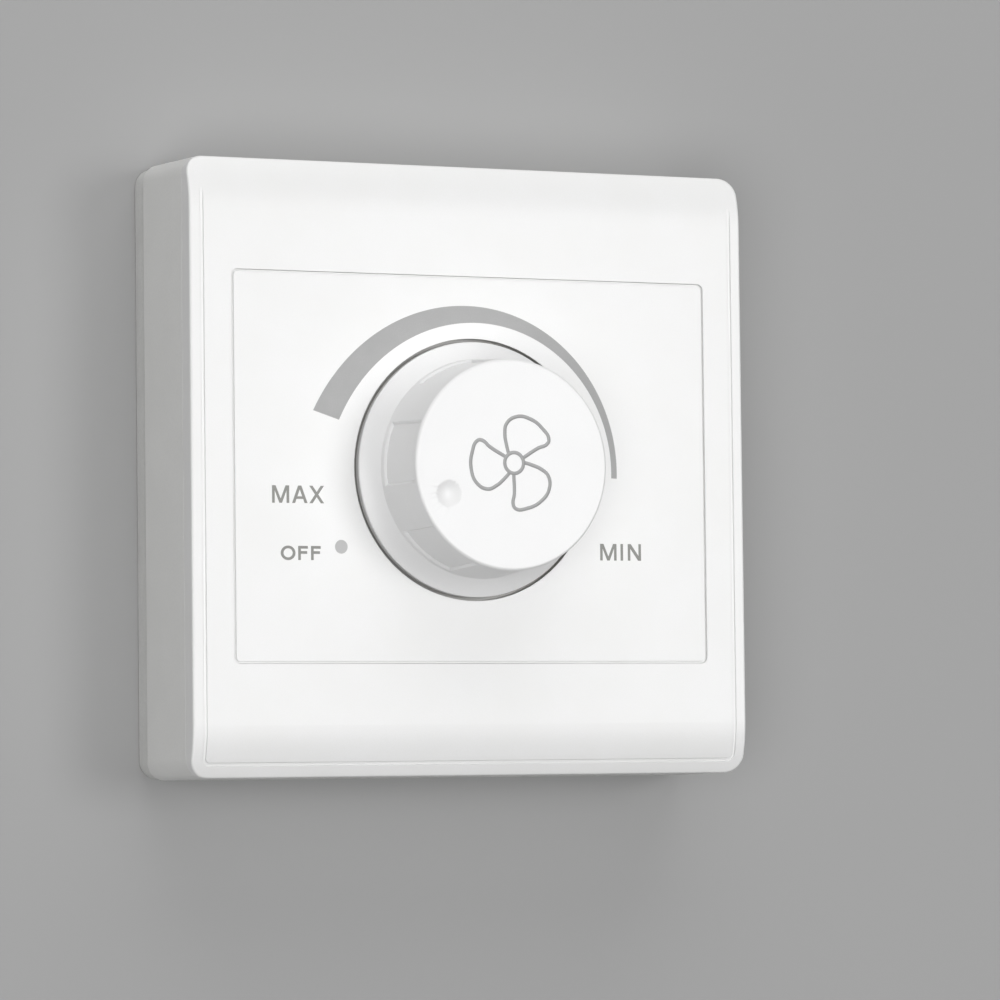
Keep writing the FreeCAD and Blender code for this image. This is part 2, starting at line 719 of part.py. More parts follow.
# Front cover: square frame whose top and bottom bands curve back towards the wall
def front_cover():
    body = new_body("cover_blank")
    NODES.remove(body)
    slab = sketch_on(body, "cover_outline", seam)
    rounded(slab, ZERO, ZERO, s.panel_width, s.panel_height, s.corner_round)
    pad(body, slab, s.cover_skirt)
    half = s.panel_height / 2
    bend = (s.curve_height * s.curve_height + s.curve_drop * s.curve_drop) / (2 * s.curve_drop)
    curves = sketch_on(body, "cover_curves", ZERO, "YZ_Plane")
    beyond = front + s.curve_drop
    outline(curves, [
        (-front, half - s.curve_height, bend, -1), (-(front - s.curve_drop), half),
        (-(front - s.curve_drop), half + s.curve_drop), (-beyond, half + s.curve_drop),
        (-beyond, half - s.curve_height),
    ])
    outline(curves, [
        (-front, s.curve_height - half, bend, 1), (-(front - s.curve_drop), -half),
        (-(front - s.curve_drop), -half - s.curve_drop), (-beyond, -half - s.curve_drop),
        (-beyond, s.curve_height - half),
    ])
    pocket(body, curves, s.panel_width * 1.1, centred=True)

    def on_front_edge(edge):
        box = edge.BoundBox
        reach = max(abs(box.XMin), abs(box.XMax))
        edge_zone = s.panel_width.value / 2 - s.corner_round.value
        return box.YMax < -0.2 - seam.value and reach > edge_zone
    round_edges(body, "cover_front_round", s.cover_round, on_front_edge)
    hollow = sketch_on(body, "cover_hollow", seam)
    rounded(hollow, ZERO, ZERO, case_inner_width, case_inner_height, case_inner_round)
    pocket(body, hollow, cover_back - seam, forwards=True)
    opening = sketch_on(body, "cover_opening", front)
    rounded(opening, ZERO, ZERO, centre_width + 2 * s.reveal_gap,
            s.centre_height + 2 * s.reveal_gap, s.centre_round + s.reveal_gap)
    pocket(body, opening, s.cover_wall)
    for number, (sign_x, sign_z) in enumerate(CORNERS, start=1):
        snap_hook(body, f"cover_hook_{number}", sign_x, sign_z)

    # The fine groove follows the sides and the bottom, and fades out under the top curve
    inset = s.groove_inset
    lane = new_body("groove_lane")
    NODES.remove(lane)
    run = sketch_on(lane, "groove_run", seam)
    outer_x = s.panel_width / 2 - inset
    inner_x = outer_x - s.groove_width
    outer_z = half - inset
    inner_z = outer_z - s.groove_width
    inner_round = s.groove_round - s.groove_width
    groove_top = half - s.groove_stop
    outline(run, [
        (-outer_x, groove_top), (-outer_x, s.groove_round - outer_z, s.groove_round, 1),
        (s.groove_round - outer_x, -outer_z), (outer_x - s.groove_round, -outer_z, s.groove_round, 1),
        (outer_x, s.groove_round - outer_z), (outer_x, groove_top),
        (inner_x, groove_top), (inner_x, inner_round - inner_z, inner_round, -1),
        (inner_x - inner_round, -inner_z), (inner_round - inner_x, -inner_z, inner_round, -1),
        (-inner_x, inner_round - inner_z), (-inner_x, groove_top),
    ])
    pad(lane, run, s.cover_skirt + s.curve_drop)
    skin = new_body("groove_skin")
    NODES.remove(skin)
    depth = sketch_on(skin, "groove_floor", ZERO, "YZ_Plane")
    floor = front - s.groove_depth
    outline(depth, [
        (-floor, half - inset), (-beyond, half - inset), (-beyond, -half),
        (-(floor - s.curve_drop), -half, bend, -1), (-floor, s.curve_height - half),
    ])
    pad(skin, depth, s.panel_width, centred=True)
    groove = doc.addObject("Part::Common", "groove")
    groove.Base = lane
    groove.Tool = skin
    cover = doc.addObject("Part::Cut", "front_cover")
    cover.Base = body
    cover.Tool = groove
    cover.Label = "front_cover"
    NODES.append(cover)


def module_clip(body, name, sign_x, sign_z):
    """Tongue that goes through the chassis window and catches behind its edge."""
    barb = clip_outer + s.hook_gap + s.hook_barb
    sketch = sketch_on(body, name, sign_x * s.clip_aside, "YZ_Plane")
    outline(sketch, [
        (-centre_back, sign_z * clip_inner), (-hook_tip, sign_z * clip_inner),
        (-hook_tip, sign_z * clip_outer), (-(hook_top - s.hook_barb_rise / 3), sign_z * barb),
        (-hook_top, sign_z * barb), (-hook_top, sign_z * clip_outer),
        (-centre_back, sign_z * clip_outer),
    ])
    pad(body, sketch, s.clip_width, centred=True)


# Centre plate: carries the knob, the potentiometer and the circuit board
def centre_plate():
    body = new_body("centre_plate")
    ledge = s.reveal_gap - s.reveal_fit
    plate = sketch_on(body, "centre_plate_ledge", centre_back)
    rounded(plate, ZERO, ZERO, centre_width + 2 * ledge, s.centre_height + 2 * ledge,
            s.centre_round + ledge)
    pad(body, plate, s.centre_wall - s.reveal_depth)
    face = sketch_on(body, "centre_plate_face", centre_back)
    rounded(face, ZERO, ZERO, centre_width, s.centre_height, s.centre_round)
    pad(body, face, s.centre_wall)
    skirt = sketch_on(body, "centre_plate_skirt", chassis_front)
    rounded(skirt, ZERO, ZERO, centre_width, s.centre_height, s.centre_round)
    rectangle(skirt, ZERO, ZERO, centre_width - 2 * s.centre_skirt_wall,
              s.centre_height - 2 * s.centre_skirt_wall)
    pad(body, skirt, s.centre_depth - s.centre_wall / 2)
    disc(body, "recess_backing", pot_seat, front - pot_seat - s.centre_wall / 2,
         s.recess_radius + s.recess_backing_wall)
    recess = sketch_on(body, "knob_recess", front)
    circle(recess, ZERO, ZERO, s.recess_radius)
    pocket(body, recess, s.recess_depth)
    bushing = sketch_on(body, "bushing_hole", recess_level)
    circle(bushing, ZERO, ZERO, s.bushing_radius + s.screw_clearance)
    pocket(body, bushing, s.recess_floor)
    posts = sketch_on(body, "board_posts", board_front)
    pilots = sketch_on(body, "board_post_pilots", board_front)
    for sign_x, sign_z in CORNERS:
        x = sign_x * s.board_post_aside
        z = sign_z * s.board_post_height
        circle(posts, x, z, s.board_post_radius)
        circle(pilots, x, z, s.board_screw_radius + s.pilot_clearance)
    pad(body, posts, centre_back - board_front)
    pocket(body, pilots, s.board_screw_length, forwards=True)
    for number, (sign_x, sign_z) in enumerate(CORNERS, start=1):
        module_clip(body, f"centre_clip_{number}", sign_x, sign_z)


# Potentiometer: can, bushing with its nut and washer, wafer, turning parts and rear switch
def potentiometer():
    can = new_body("pot_can")
    roof = pot_seat - s.can_wall
    inner = s.can_radius - s.can_wall
    hole = s.bushing_radius + s.seat_fit
    turned(can, "pot_can_profile", [
        (pot_seat, hole), (pot_seat, s.can_radius), (can_back, s.can_radius),
        (can_back, inner), (roof, inner), (roof, hole),
    ])
    notch = sketch_on(can, "pot_can_notch", can_back)
    rectangle(notch, ZERO, -s.can_radius, s.wafer_tab_width + 4 * s.moulding_gap, s.can_radius)
    pocket(can, notch, s.wafer_thickness + s.moulding_gap, forwards=True)

    bushing = new_body("pot_bushing")
    turned(bushing, "pot_bushing_profile", [
        (bushing_root, bore_radius), (bushing_root, s.bushing_flange), (roof, s.bushing_flange),
        (roof, s.bushing_radius), (bushing_top - s.bushing_chamfer, s.bushing_radius),
        (bushing_top, s.bushing_radius - s.bushing_chamfer), (bushing_top, bore_radius),
    ])

    washer = new_body("pot_washer")
    hole = s.bushing_radius + s.moulding_gap
    turned(washer, "pot_washer_profile", [
        (recess_level, hole), (recess_level, s.washer_radius),
        (washer_top, s.washer_radius), (washer_top, hole),
    ])

    nut = new_body("pot_nut")
    hexagon = sketch_on(nut, "pot_nut_hexagon", washer_top)
    across = s.nut_across / 2
    corner = across / math.cos(math.radians(30))
    outline(hexagon, [
        (corner, ZERO), (corner / 2, across), (-corner / 2, across),
        (-corner, ZERO), (-corner / 2, -across), (corner / 2, -across),
    ])
    circle(hexagon, ZERO, ZERO, s.bushing_radius + s.seat_fit)
    pad(nut, hexagon, s.nut_height)

    wafer = new_body("pot_wafer")
    disc(wafer, "wafer_disc", can_back, s.wafer_thickness, inner - s.moulding_gap)
    reach = s.wafer_tab_reach
    block(wafer, "wafer_tab", can_back, s.wafer_thickness, ZERO, -reach / 2, s.wafer_tab_width, reach)
    centre_hole = sketch_on(wafer, "wafer_hole", wafer_front)
    circle(centre_hole, ZERO, ZERO, s.wafer_hole)
    pocket(wafer, centre_hole, s.wafer_thickness)

    for number in (-1, 0, 1):
        pin = new_body(f"pot_terminal_{number + 2}")
        disc(pin, f"{pin.Name}_pin", board_back - s.pin_tail, can_back - board_back + s.pin_tail,
             s.pin_radius, number * s.terminal_pitch, -s.terminal_drop)

    switch = new_body("click_switch")
    middle = (can_back + board_front) / 2
    turned(switch, "click_switch_profile", [
        (board_front, ZERO), (board_front, s.can_radius), (middle - s.switch_groove, s.can_radius),
        (middle, s.can_radius - s.switch_groove), (middle + s.switch_groove, s.can_radius),
        (can_back, s.can_radius), (can_back, ZERO),
    ])
    pins = sketch_on(switch, "click_switch_pins", board_back - s.pin_tail)
    for x, z in SWITCH_PINS:
        circle(pins, x, z, s.pin_radius)
    pad(switch, pins, board_front - board_back + s.pin_tail + s.switch_groove)


def turning_parts():
    collar_top = bushing_root - s.shaft_float
    collar_low = collar_top - s.shaft_collar_rise
    rotor_low = collar_low - s.rotor_thickness
    shaft = new_body("pot_shaft")
    tail = can_back + s.shaft_float
    chamfer = s.bushing_chamfer
    turned(shaft, "pot_shaft_profile", [
        (tail, ZERO), (tail, s.journal_radius), (rotor_low, s.journal_radius), (rotor_low, s.rotor_seat),
        (collar_low, s.rotor_seat), (collar_low, s.shaft_collar), (collar_top, s.shaft_collar),
        (collar_top, s.shaft_radius), (shaft_end - chamfer, s.shaft_radius),
        (shaft_end, s.shaft_radius - chamfer), (shaft_end, ZERO),
    ])
    flat = sketch_on(shaft, "pot_shaft_flat", shaft_end)
    rectangle(flat, ZERO, s.shaft_flat + s.shaft_radius / 2, 2.4 * s.shaft_radius, s.shaft_radius)
    pocket(shaft, flat, shaft_end - socket_mouth)
    turn_to_off(shaft)

    rotor = new_body("pot_rotor")
    wheel = sketch_on(rotor, "pot_rotor_wheel", rotor_low)
    circle(wheel, ZERO, ZERO, s.rotor_radius)
    circle(wheel, ZERO, ZERO, s.rotor_seat + s.seat_fit)
    pad(rotor, wheel, s.rotor_thickness)
    brushes = sketch_on(rotor, "pot_rotor_brushes", wafer_front + s.brush_gap)
    for sign in (-1, 1):
        circle(brushes, ZERO, sign * s.brush_orbit, s.brush_radius)
    pad(rotor, brushes, rotor_low - wafer_front - s.brush_gap + s.rotor_thickness / 2)
    turn_to_off(rotor)

    spring = new_body("knob_spring")
    leaf = sketch_on(spring, "knob_spring_leaf", socket_mouth + s.shaft_end_gap)
    rectangle(leaf, ZERO, s.shaft_flat + s.spring_thickness / 2, s.spring_width, s.spring_thickness)
    pad(spring, leaf, s.spring_length)
    turn_to_off(spring)


# Knob: hollow skirted knob with six shallow grip panels and a pointer dimple
def knob():
    body = new_body("knob")
    skirt_low = recess_level + s.knob_float
    skirt_high = front + s.skirt_edge
    flare_top = front + s.flare_rise
    wall = s.knob_wall
    turned(body, "knob_profile", [
        (skirt_low, s.skirt_radius - wall), (skirt_low, s.skirt_radius),
        (skirt_high - s.skirt_round, s.skirt_radius, s.skirt_round, -1),
        (skirt_high, s.skirt_radius - s.skirt_round, s.flare_round, 1),
        (flare_top, s.grip_base_radius), (cap_level - s.cap_round, s.grip_top_radius, s.cap_round, -1),
        (cap_level, s.grip_top_radius - s.cap_round), (cap_level, ZERO), (cap_inside, ZERO),
        (cap_inside, s.grip_top_radius - wall), (flare_top, s.grip_base_radius - wall),
        (skirt_high - s.skirt_round, s.grip_base_radius - wall),
        (skirt_high - s.skirt_round - wall / 2, s.skirt_radius - wall),
    ])
    socket = sketch_on(body, "knob_socket", socket_mouth)
    circle(socket, ZERO, ZERO, s.shaft_radius + s.socket_wall)
    circle(socket, ZERO, ZERO, s.shaft_radius + s.seat_fit)
    pad(body, socket, cap_inside - socket_mouth + s.cap_thickness / 2)
    key_low = s.shaft_flat + s.spring_thickness + s.seat_fit
    key_high = s.shaft_radius + s.socket_wall / 2
    block(body, "knob_socket_key", socket_mouth, cap_inside - socket_mouth + s.cap_thickness / 2,
          ZERO, (key_low + key_high) / 2, 2 * s.shaft_radius - s.spring_thickness, key_high - key_low)
    rib_inner = s.shaft_radius + s.socket_wall / 2
    rib_outer = s.grip_top_radius - wall / 2
    rib = block(body, "knob_rib", cap_inside - s.rib_rise, s.rib_rise + s.cap_thickness / 2,
                (rib_inner + rib_outer) / 2, ZERO, rib_outer - rib_inner, s.rib_wall)
    axis = [feature for feature in body.Origin.OriginFeatures if feature.Role == "Y_Axis"][0]
    ribs = body.newObject("PartDesign::PolarPattern", "knob_ribs")
    ribs.Originals = [rib]
    ribs.Axis = (axis, [""])
    ribs.Angle = 360
    bind(ribs, "Occurrences", s.rib_count)
    body.Tip = ribs
    slope = (s.grip_base_radius - s.grip_top_radius) / (s.knob_height - s.flare_rise - s.cap_round)
    panel_low = flare_top + s.panel_low
    panel_high = cap_level - s.panel_high
    low_radius = s.grip_base_radius - slope * s.panel_low - s.panel_sink
    high_radius = s.grip_top_radius + slope * (s.panel_high - s.cap_round) - s.panel_sink
    sketch = sketch_on(body, "grip_panel", ZERO, "YZ_Plane")
    outline(sketch, [
        (-panel_low, low_radius), (-panel_high, high_radius),
        (-panel_high, s.skirt_radius), (-panel_low, s.skirt_radius),
    ])
    panel = body.newObject("PartDesign::Groove", "grip_panel_cut")
    panel.Profile = sketch
    panel.ReferenceAxis = (sketch, ["H_Axis"])
    panel.Midplane = True
    bind(panel, "Angle", s.panel_arc)
    panels = body.newObject("PartDesign::PolarPattern", "grip_panels")
    panels.Originals = [panel]
    panels.Axis = (axis, [""])
    panels.Angle = 360
    bind(panels, "Occurrences", s.panel_count)
    body.Tip = panels

    def on_rim(edge):
        middle = edge.valueAt((edge.FirstParameter + edge.LastParameter) / 2)
        rise = -middle.y - flare_top.value
        grip = s.grip_base_radius.value - slope.value * rise
        low = s.panel_low.value - 0.01
        high = panel_high.value - flare_top.value + 0.01
        return low < rise < high and abs(math.hypot(middle.x, middle.z) - grip) < 0.02

    bevel_edges(body, "grip_panel_edge", s.panel_edge, on_rim)
    dimple = body.newObject("PartDesign::SubtractiveSphere", "pointer_dimple")
    bind(dimple, "Radius", s.dimple_ball)
    bind(dimple, "Placement.Base.x", s.dimple_orbit)
    bind(dimple, "Placement.Base.y", -(cap_level + s.dimple_ball - s.dimple_depth))
    turn_to_off(body)


# Pin places on the circuit board, shared by each component and the board's own holes
def pair(x, z, pitch, upright=False):
    """Two pins, one half pitch to each side of x and z."""
    half = pitch / 2
    if upright:
        return [(x, z - half), (x, z + half)]
    return [(x - half, z), (x + half, z)]


SWITCH_PINS = pair(ZERO, ZERO, s.switch_pin_pitch)
FILM_PINS = pair(ZERO, s.film_up, s.film_pitch)
DRUM_PINS = pair(s.drum_aside, s.drum_up, s.fuse_pitch)
FUSE_PINS = pair(s.fuse_aside, -s.fuse_down, s.fuse_pitch)
TIMING_PINS = pair(s.timing_aside, -s.timing_down, s.timing_pitch)
RESISTOR_ROWS = [-s.resistor_down, -(s.resistor_down + s.resistor_step)]
RESISTOR_PINS = [pair(s.resistor_aside, row, s.resistor_pitch) for row in RESISTOR_ROWS]
TRIAC_FOOT = s.triac_up - s.triac_length - s.sink_foot - s.pin_clearance * 2
TRIAC_PINS = [(number * s.triac_pitch - s.sink_aside, TRIAC_FOOT) for number in (-1, 0, 1)]
BLOCK_PINS = pair(-s.block_aside, -s.block_down, s.block_pitch)
SINK_PINS = pair(-s.sink_aside, s.sink_up, s.sink_length * 0.7, upright=True)


def circuit_board():
    body = new_body("circuit_board")
    outer = sketch_on(body, "board_outline", board_back)
    rectangle(outer, ZERO, ZERO, s.board_width, s.board_height)
    for sign_x, sign_z in CORNERS:
        circle(outer, sign_x * s.board_post_aside, sign_z * s.board_post_height,
               s.board_screw_radius + s.screw_clearance)
    pot_pins = [(number * s.terminal_pitch, -s.terminal_drop) for number in (-1, 0, 1)]
    stout = (SWITCH_PINS + FILM_PINS + DRUM_PINS + FUSE_PINS + TIMING_PINS + TRIAC_PINS
             + BLOCK_PINS + SINK_PINS + pot_pins)
    for x, z in stout:
        circle(outer, x, z, s.pin_radius + s.pin_clearance)
    for pins in RESISTOR_PINS:
        for x, z in pins:
            circle(outer, x, z, s.lead_radius + s.pin_clearance)
    pad(body, outer, s.board_thickness)


def add_pins(body, name, pins, radius, root):
    """Pins from below the board up to the root level inside the component."""
    sketch = sketch_on(body, name, board_back - s.pin_tail)
    for x, z in pins:
        circle(sketch, x, z, radius)
    pad(body, sketch, root - board_back + s.pin_tail)


def film_capacitor():
    body = new_body("film_capacitor")
    case = sketch_on(body, "film_case", board_front)
    rounded(case, ZERO, s.film_up, s.film_width, s.film_thickness, s.film_thickness * 0.08)
    pad(body, case, s.film_height)
    add_pins(body, "film_pins", FILM_PINS, s.pin_radius, board_front + s.pin_radius)


def timing_capacitor():
    body = new_body("timing_capacitor")
    case = sketch_on(body, "timing_case", board_front)
    rounded(case, s.timing_aside, -s.timing_down, s.timing_width, s.timing_thickness,
            s.timing_thickness * 0.4)
    pad(body, case, s.timing_height)
    add_pins(body, "timing_pins", TIMING_PINS, s.pin_radius, board_front + s.pin_radius)


def fuse():
    body = new_body("fuse")
    disc(body, "fuse_can", board_front, s.fuse_height, s.fuse_radius, s.fuse_aside, -s.fuse_down)
    add_pins(body, "fuse_pins", FUSE_PINS, s.pin_radius, board_front + s.pin_radius)


# Suppression choke: ferrite drum with copper wire in a single visible layer of turns
def choke():
    core = new_body("choke_core")
    top = board_front + s.drum_height
    turned(core, "choke_core_profile", [
        (board_front, ZERO), (board_front, s.drum_radius), (board_front + s.drum_flange, s.drum_radius),
        (board_front + s.drum_flange, s.drum_core), (top - s.drum_flange, s.drum_core),
        (top - s.drum_flange, s.drum_radius), (top, s.drum_radius), (top, ZERO),
    ])
    pins = [(-s.fuse_pitch / 2, ZERO), (s.fuse_pitch / 2, ZERO)]
    add_pins(core, "choke_pins", pins, s.pin_radius, board_front + s.pin_radius)
    place(core, s.drum_aside, s.drum_up)

    winding = new_body("choke_winding")
    low = board_front + s.drum_flange + s.moulding_gap
    high = top - s.drum_flange - s.moulding_gap
    pitch = (high - low) / SIZES["wire_rows"]
    outer = s.drum_radius - s.wire_radius
    corners = [(low, s.drum_core + s.seat_fit)]
    for row in range(SIZES["wire_rows"]):
        corners.append((low + pitch * row, outer - s.wire_radius, pitch * 0.6, -1))
    corners += [(high, outer - s.wire_radius), (high, s.drum_core + s.seat_fit)]
    turned(winding, "choke_winding_profile", corners)
    place(winding, s.drum_aside, s.drum_up)


def resistor(number):
    """Axial resistor lying along X, with both leads bent down through the board."""
    body = new_body(f"resistor_{number}")
    row = RESISTOR_ROWS[number - 1]
    centre = board_front + s.resistor_radius
    half = s.resistor_length / 2
    cheek = s.resistor_length * 0.28
    profile = sketch_on(body, f"resistor_{number}_profile", ZERO, "YZ_Plane")
    outline(profile, [
        (ZERO, -half), (s.resistor_radius, -half), (s.resistor_radius, -half + cheek),
        (s.resistor_neck, -half + cheek), (s.resistor_neck, half - cheek),
        (s.resistor_radius, half - cheek), (s.resistor_radius, half), (ZERO, half),
    ])
    barrel = body.newObject("PartDesign::Revolution", f"resistor_{number}_barrel")
    barrel.Profile = profile
    barrel.ReferenceAxis = (profile, ["V_Axis"])
    barrel.Angle = 360
    reach = s.resistor_pitch / 2 + s.lead_radius
    lead = sketch_on(body, f"resistor_{number}_lead", -reach, "XY_Plane")
    circle(lead, ZERO, ZERO, s.lead_radius)
    pad(body, lead, 2 * reach)
    drop = sketch_on(body, f"resistor_{number}_drop", ZERO)
    for sign in (-1, 1):
        circle(drop, ZERO, sign * s.resistor_pitch / 2, s.lead_radius)
    pad(body, drop, centre - board_back + s.pin_tail, backwards=True)
    body.Placement = FreeCAD.Placement(FreeCAD.Vector(), FreeCAD.Rotation(FreeCAD.Vector(0, 1, 0), 90))
    bind(body, "Placement.Base.x", s.resistor_aside)
    bind(body, "Placement.Base.y", -centre)
    bind(body, "Placement.Base.z", row)


# Folded aluminium heat sink under the triac
def heat_sink():
    body = new_body("heat_sink")
    base = board_front + s.sink_foot
    half = s.sink_width / 2
    section = sketch_on(body, "sink_section", s.sink_up, "XY_Plane")
    left = -s.sink_aside - half
    right = -s.sink_aside + half
    wing_top = base + s.sink_wing
    outline(section, [
        (left, -base), (left, -wing_top), (left + s.sink_wall, -wing_top),
        (left + s.sink_wall, -(base + s.sink_wall)), (right, -(base + s.sink_wall)), (right, -base),
    ])
    pad(body, section, s.sink_length, centred=True)
    add_pins(body, "sink_pins", SINK_PINS, s.pin_radius, base + s.sink_wall / 2)
    hole = sketch_on(body, "sink_screw_hole", base)
    circle(hole, -s.sink_aside, s.triac_up + s.tab_length / 2, s.triac_screw_radius + s.pilot_clearance)
    pocket(body, hole, s.sink_wall, forwards=True)


def triac():
    body = new_body("triac")
    seat = board_front + s.sink_foot + s.sink_wall
    x = -s.sink_aside
    case = sketch_on(body, "triac_case", seat)
    rectangle(case, x, s.triac_up - s.triac_length / 2, s.triac_width, s.triac_length)
    pad(body, case, s.triac_thickness)
    tab = sketch_on(body, "triac_tab", seat)
    overlap = s.tab_thickness
    rectangle(tab, x, s.triac_up + (s.tab_length - overlap) / 2, s.triac_width, s.tab_length + overlap)
    circle(tab, x, s.triac_up + s.tab_length / 2, s.tab_hole)
    pad(body, tab, s.tab_thickness)
    bend = seat + s.triac_thickness / 2
    legs = sketch_on(body, "triac_legs", bend - s.pin_radius)
    root = s.triac_up - s.triac_length
    for leg_x, leg_z in TRIAC_PINS:
        low = leg_z - s.pin_radius
        rectangle(legs, leg_x, (root + low) / 2, 2 * s.pin_radius, root - low)
    pad(body, legs, 2 * s.pin_radius)
    add_pins(body, "triac_pins", TRIAC_PINS, s.pin_radius, bend)


def terminal_block():
    body = new_body("terminal_block")
    x = -s.block_aside
    z = -s.block_down
    block(body, "block_case", board_front, s.block_height, x, z, s.block_width, s.block_thickness)
    top = board_front + s.block_height
    floor = top - s.block_well_depth
    wells = sketch_on(body, "block_wells", top)
    throats = sketch_on(body, "block_throats", floor)
    entries = sketch_on(body, "block_wire_holes", z - s.block_thickness / 2, "XY_Plane")
    wire_level = board_front + s.wire_hole_rise
    for pin_x, pin_z in BLOCK_PINS:
        circle(wells, pin_x, pin_z, s.block_well)
        circle(throats, pin_x, pin_z, s.clamp_screw_radius + s.pilot_clearance)
        circle(entries, pin_x, -wire_level, s.wire_hole_radius)
    pocket(body, wells, s.block_well_depth)
    pocket(body, throats, floor - wire_level)
    pocket(body, entries, s.wire_hole_depth, forwards=True)
    add_pins(body, "block_pins", BLOCK_PINS, s.pin_radius, board_front + s.pin_radius)


def board_parts():
    circuit_board()
    film_capacitor()
    timing_capacitor()
    fuse()
    choke()
    resistor(1)
    resistor(2)
    heat_sink()
    triac()
    sink_top = board_front + s.sink_foot + s.sink_wall
    pan_head_screw("triac_screw", sink_top + s.tab_thickness, 1, s.triac_screw_head,
                   s.triac_screw_head_rise, s.triac_screw_radius, s.tab_thickness + s.sink_wall,
                   -s.sink_aside, s.triac_up + s.tab_length / 2)
    terminal_block()
    well_floor = board_front + s.block_height - s.block_well_depth
    for number, (pin_x, pin_z) in enumerate(BLOCK_PINS, start=1):
        pan_head_screw(f"terminal_screw_{number}", well_floor, 1, s.clamp_screw_head,
                       s.clamp_screw_head_rise, s.clamp_screw_radius, s.clamp_screw_head_rise,
                       pin_x, pin_z)


def fasteners():
    for number, (sign_x, sign_z) in enumerate(CORNERS, start=1):
        pan_head_screw(f"case_screw_{number}", s.case_screw_sink, -1, s.case_screw_head,
                       s.case_screw_head_rise, s.case_screw_radius, s.case_screw_length,
                       sign_x * post_x, sign_z * post_z)
        pan_head_screw(f"board_screw_{number}", board_back, -1, s.board_screw_head,
                       s.board_screw_head_rise, s.board_screw_radius, s.board_screw_length,
                       sign_x * s.board_post_aside, sign_z * s.board_post_height)
    for label, sign in (("upper", 1), ("lower", -1)):
        threaded_insert(f"threaded_insert_{label}", sign)
        pan_head_screw(f"chassis_screw_{label}", chassis_front, 1, s.chassis_screw_head,
                       s.chassis_screw_head_rise, s.chassis_screw_radius, s.chassis_screw_length,
                       ZERO, sign * band_middle)


wall_plate()
housing()
chassis()
front_cover()
centre_plate()
potentiometer()
turning_parts()
knob()
board_parts()
fasteners()
doc.recompute()

for item in doc.Objects:
    if "Invalid" in item.State or "Error" in item.State:
        raise RuntimeError(f"{item.Name} did not build: {item.State}")
os.makedirs("parts", exist_ok=True)
for node in NODES:
    if node.Shape.isNull() or not node.Shape.isValid():
        raise RuntimeError(f"{node.Label} has no valid shape")
    node.Shape.exportStep(f"parts/{node.Label}.step")
print(len(NODES), "sub-parts written")
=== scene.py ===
"""Looks of a rotary fan speed control switch: finishes, prints, solder, studio and camera."""

import json
import logging
import math
from dataclasses import asdict, dataclass, replace
from enum import Enum
from functools import cached_property
from typing import Any, Sequence

import bmesh
import bpy
from bpy.types import Curve, Material, Mesh, Node, NodeSocket, NodeTree, Object, World
from mathutils import Matrix, Vector


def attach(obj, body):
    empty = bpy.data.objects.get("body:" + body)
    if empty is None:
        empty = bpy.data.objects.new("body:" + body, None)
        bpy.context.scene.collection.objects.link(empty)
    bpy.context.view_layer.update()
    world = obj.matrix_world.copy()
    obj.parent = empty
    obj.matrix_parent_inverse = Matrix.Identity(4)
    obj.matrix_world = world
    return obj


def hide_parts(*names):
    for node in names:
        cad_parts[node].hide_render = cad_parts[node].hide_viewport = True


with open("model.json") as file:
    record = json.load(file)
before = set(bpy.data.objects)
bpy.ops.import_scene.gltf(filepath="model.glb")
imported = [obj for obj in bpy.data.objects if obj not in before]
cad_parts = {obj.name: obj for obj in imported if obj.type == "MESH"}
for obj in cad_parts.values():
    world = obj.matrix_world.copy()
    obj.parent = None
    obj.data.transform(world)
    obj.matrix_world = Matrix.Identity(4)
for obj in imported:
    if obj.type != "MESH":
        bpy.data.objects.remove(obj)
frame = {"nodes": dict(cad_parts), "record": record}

LOG = logging.getLogger("fan_speed_switch")
MM = 0.001
# Points of a drawn curve that lie this close, in metres, are one point.
WELD = 1e-7
# Points of a carried-over solid's loose triangles that lie this close are one point.
SOLID_WELD = 0.002 * MM

Outline = tuple[tuple[float, float], ...]


def linear(hex_colour: str) -> tuple[float, float, float, float]:
    """Turn an sRGB hex colour into linear values.

    Args:
        hex_colour: Six hex digits, with or without a leading hash.

    Returns:
        Red, green, blue and an alpha of one.
    """
    digits = hex_colour.lstrip("#")
    channels = []
    for start in (0, 2, 4):
        value = int(digits[start:start + 2], 16) / 255
        low = value / 12.92
        high = ((value + 0.055) / 1.055) ** 2.4
        channels.append(low if value <= 0.04045 else high)
    return (*channels, 1.0)


def add_node(
    tree: NodeTree, kind: str, inputs: dict[str | int, Any] | None = None, **settings: Any
) -> Node:
    """Add a node with its settings, and with values or links on its inputs.

    Args:
        tree: The node tree that takes the node.
        kind: The node's Blender type name.
        inputs: A value, an output socket, or a node whose first output is linked, for each
            named or numbered input.
        **settings: Attributes of the node itself.

    Returns:
        The new node.
    """
    node = tree.nodes.new(kind)
    for name, value in settings.items():
        setattr(node, name, value)
    for key, value in (inputs or {}).items():
        if isinstance(value, Node):
            value = value.outputs[0]
        if isinstance(value, NodeSocket):
            tree.links.new(value, node.inputs[key])
        else:
            node.inputs[key].default_value = value
    return node


def cleared(owner: Material | World) -> NodeTree:
    """Empty a node tree.

    Args:
        owner: The material or world that owns it.

    Returns:
        The empty tree.
    """
    owner.use_nodes = True
    owner.node_tree.nodes.clear()
    return owner.node_tree


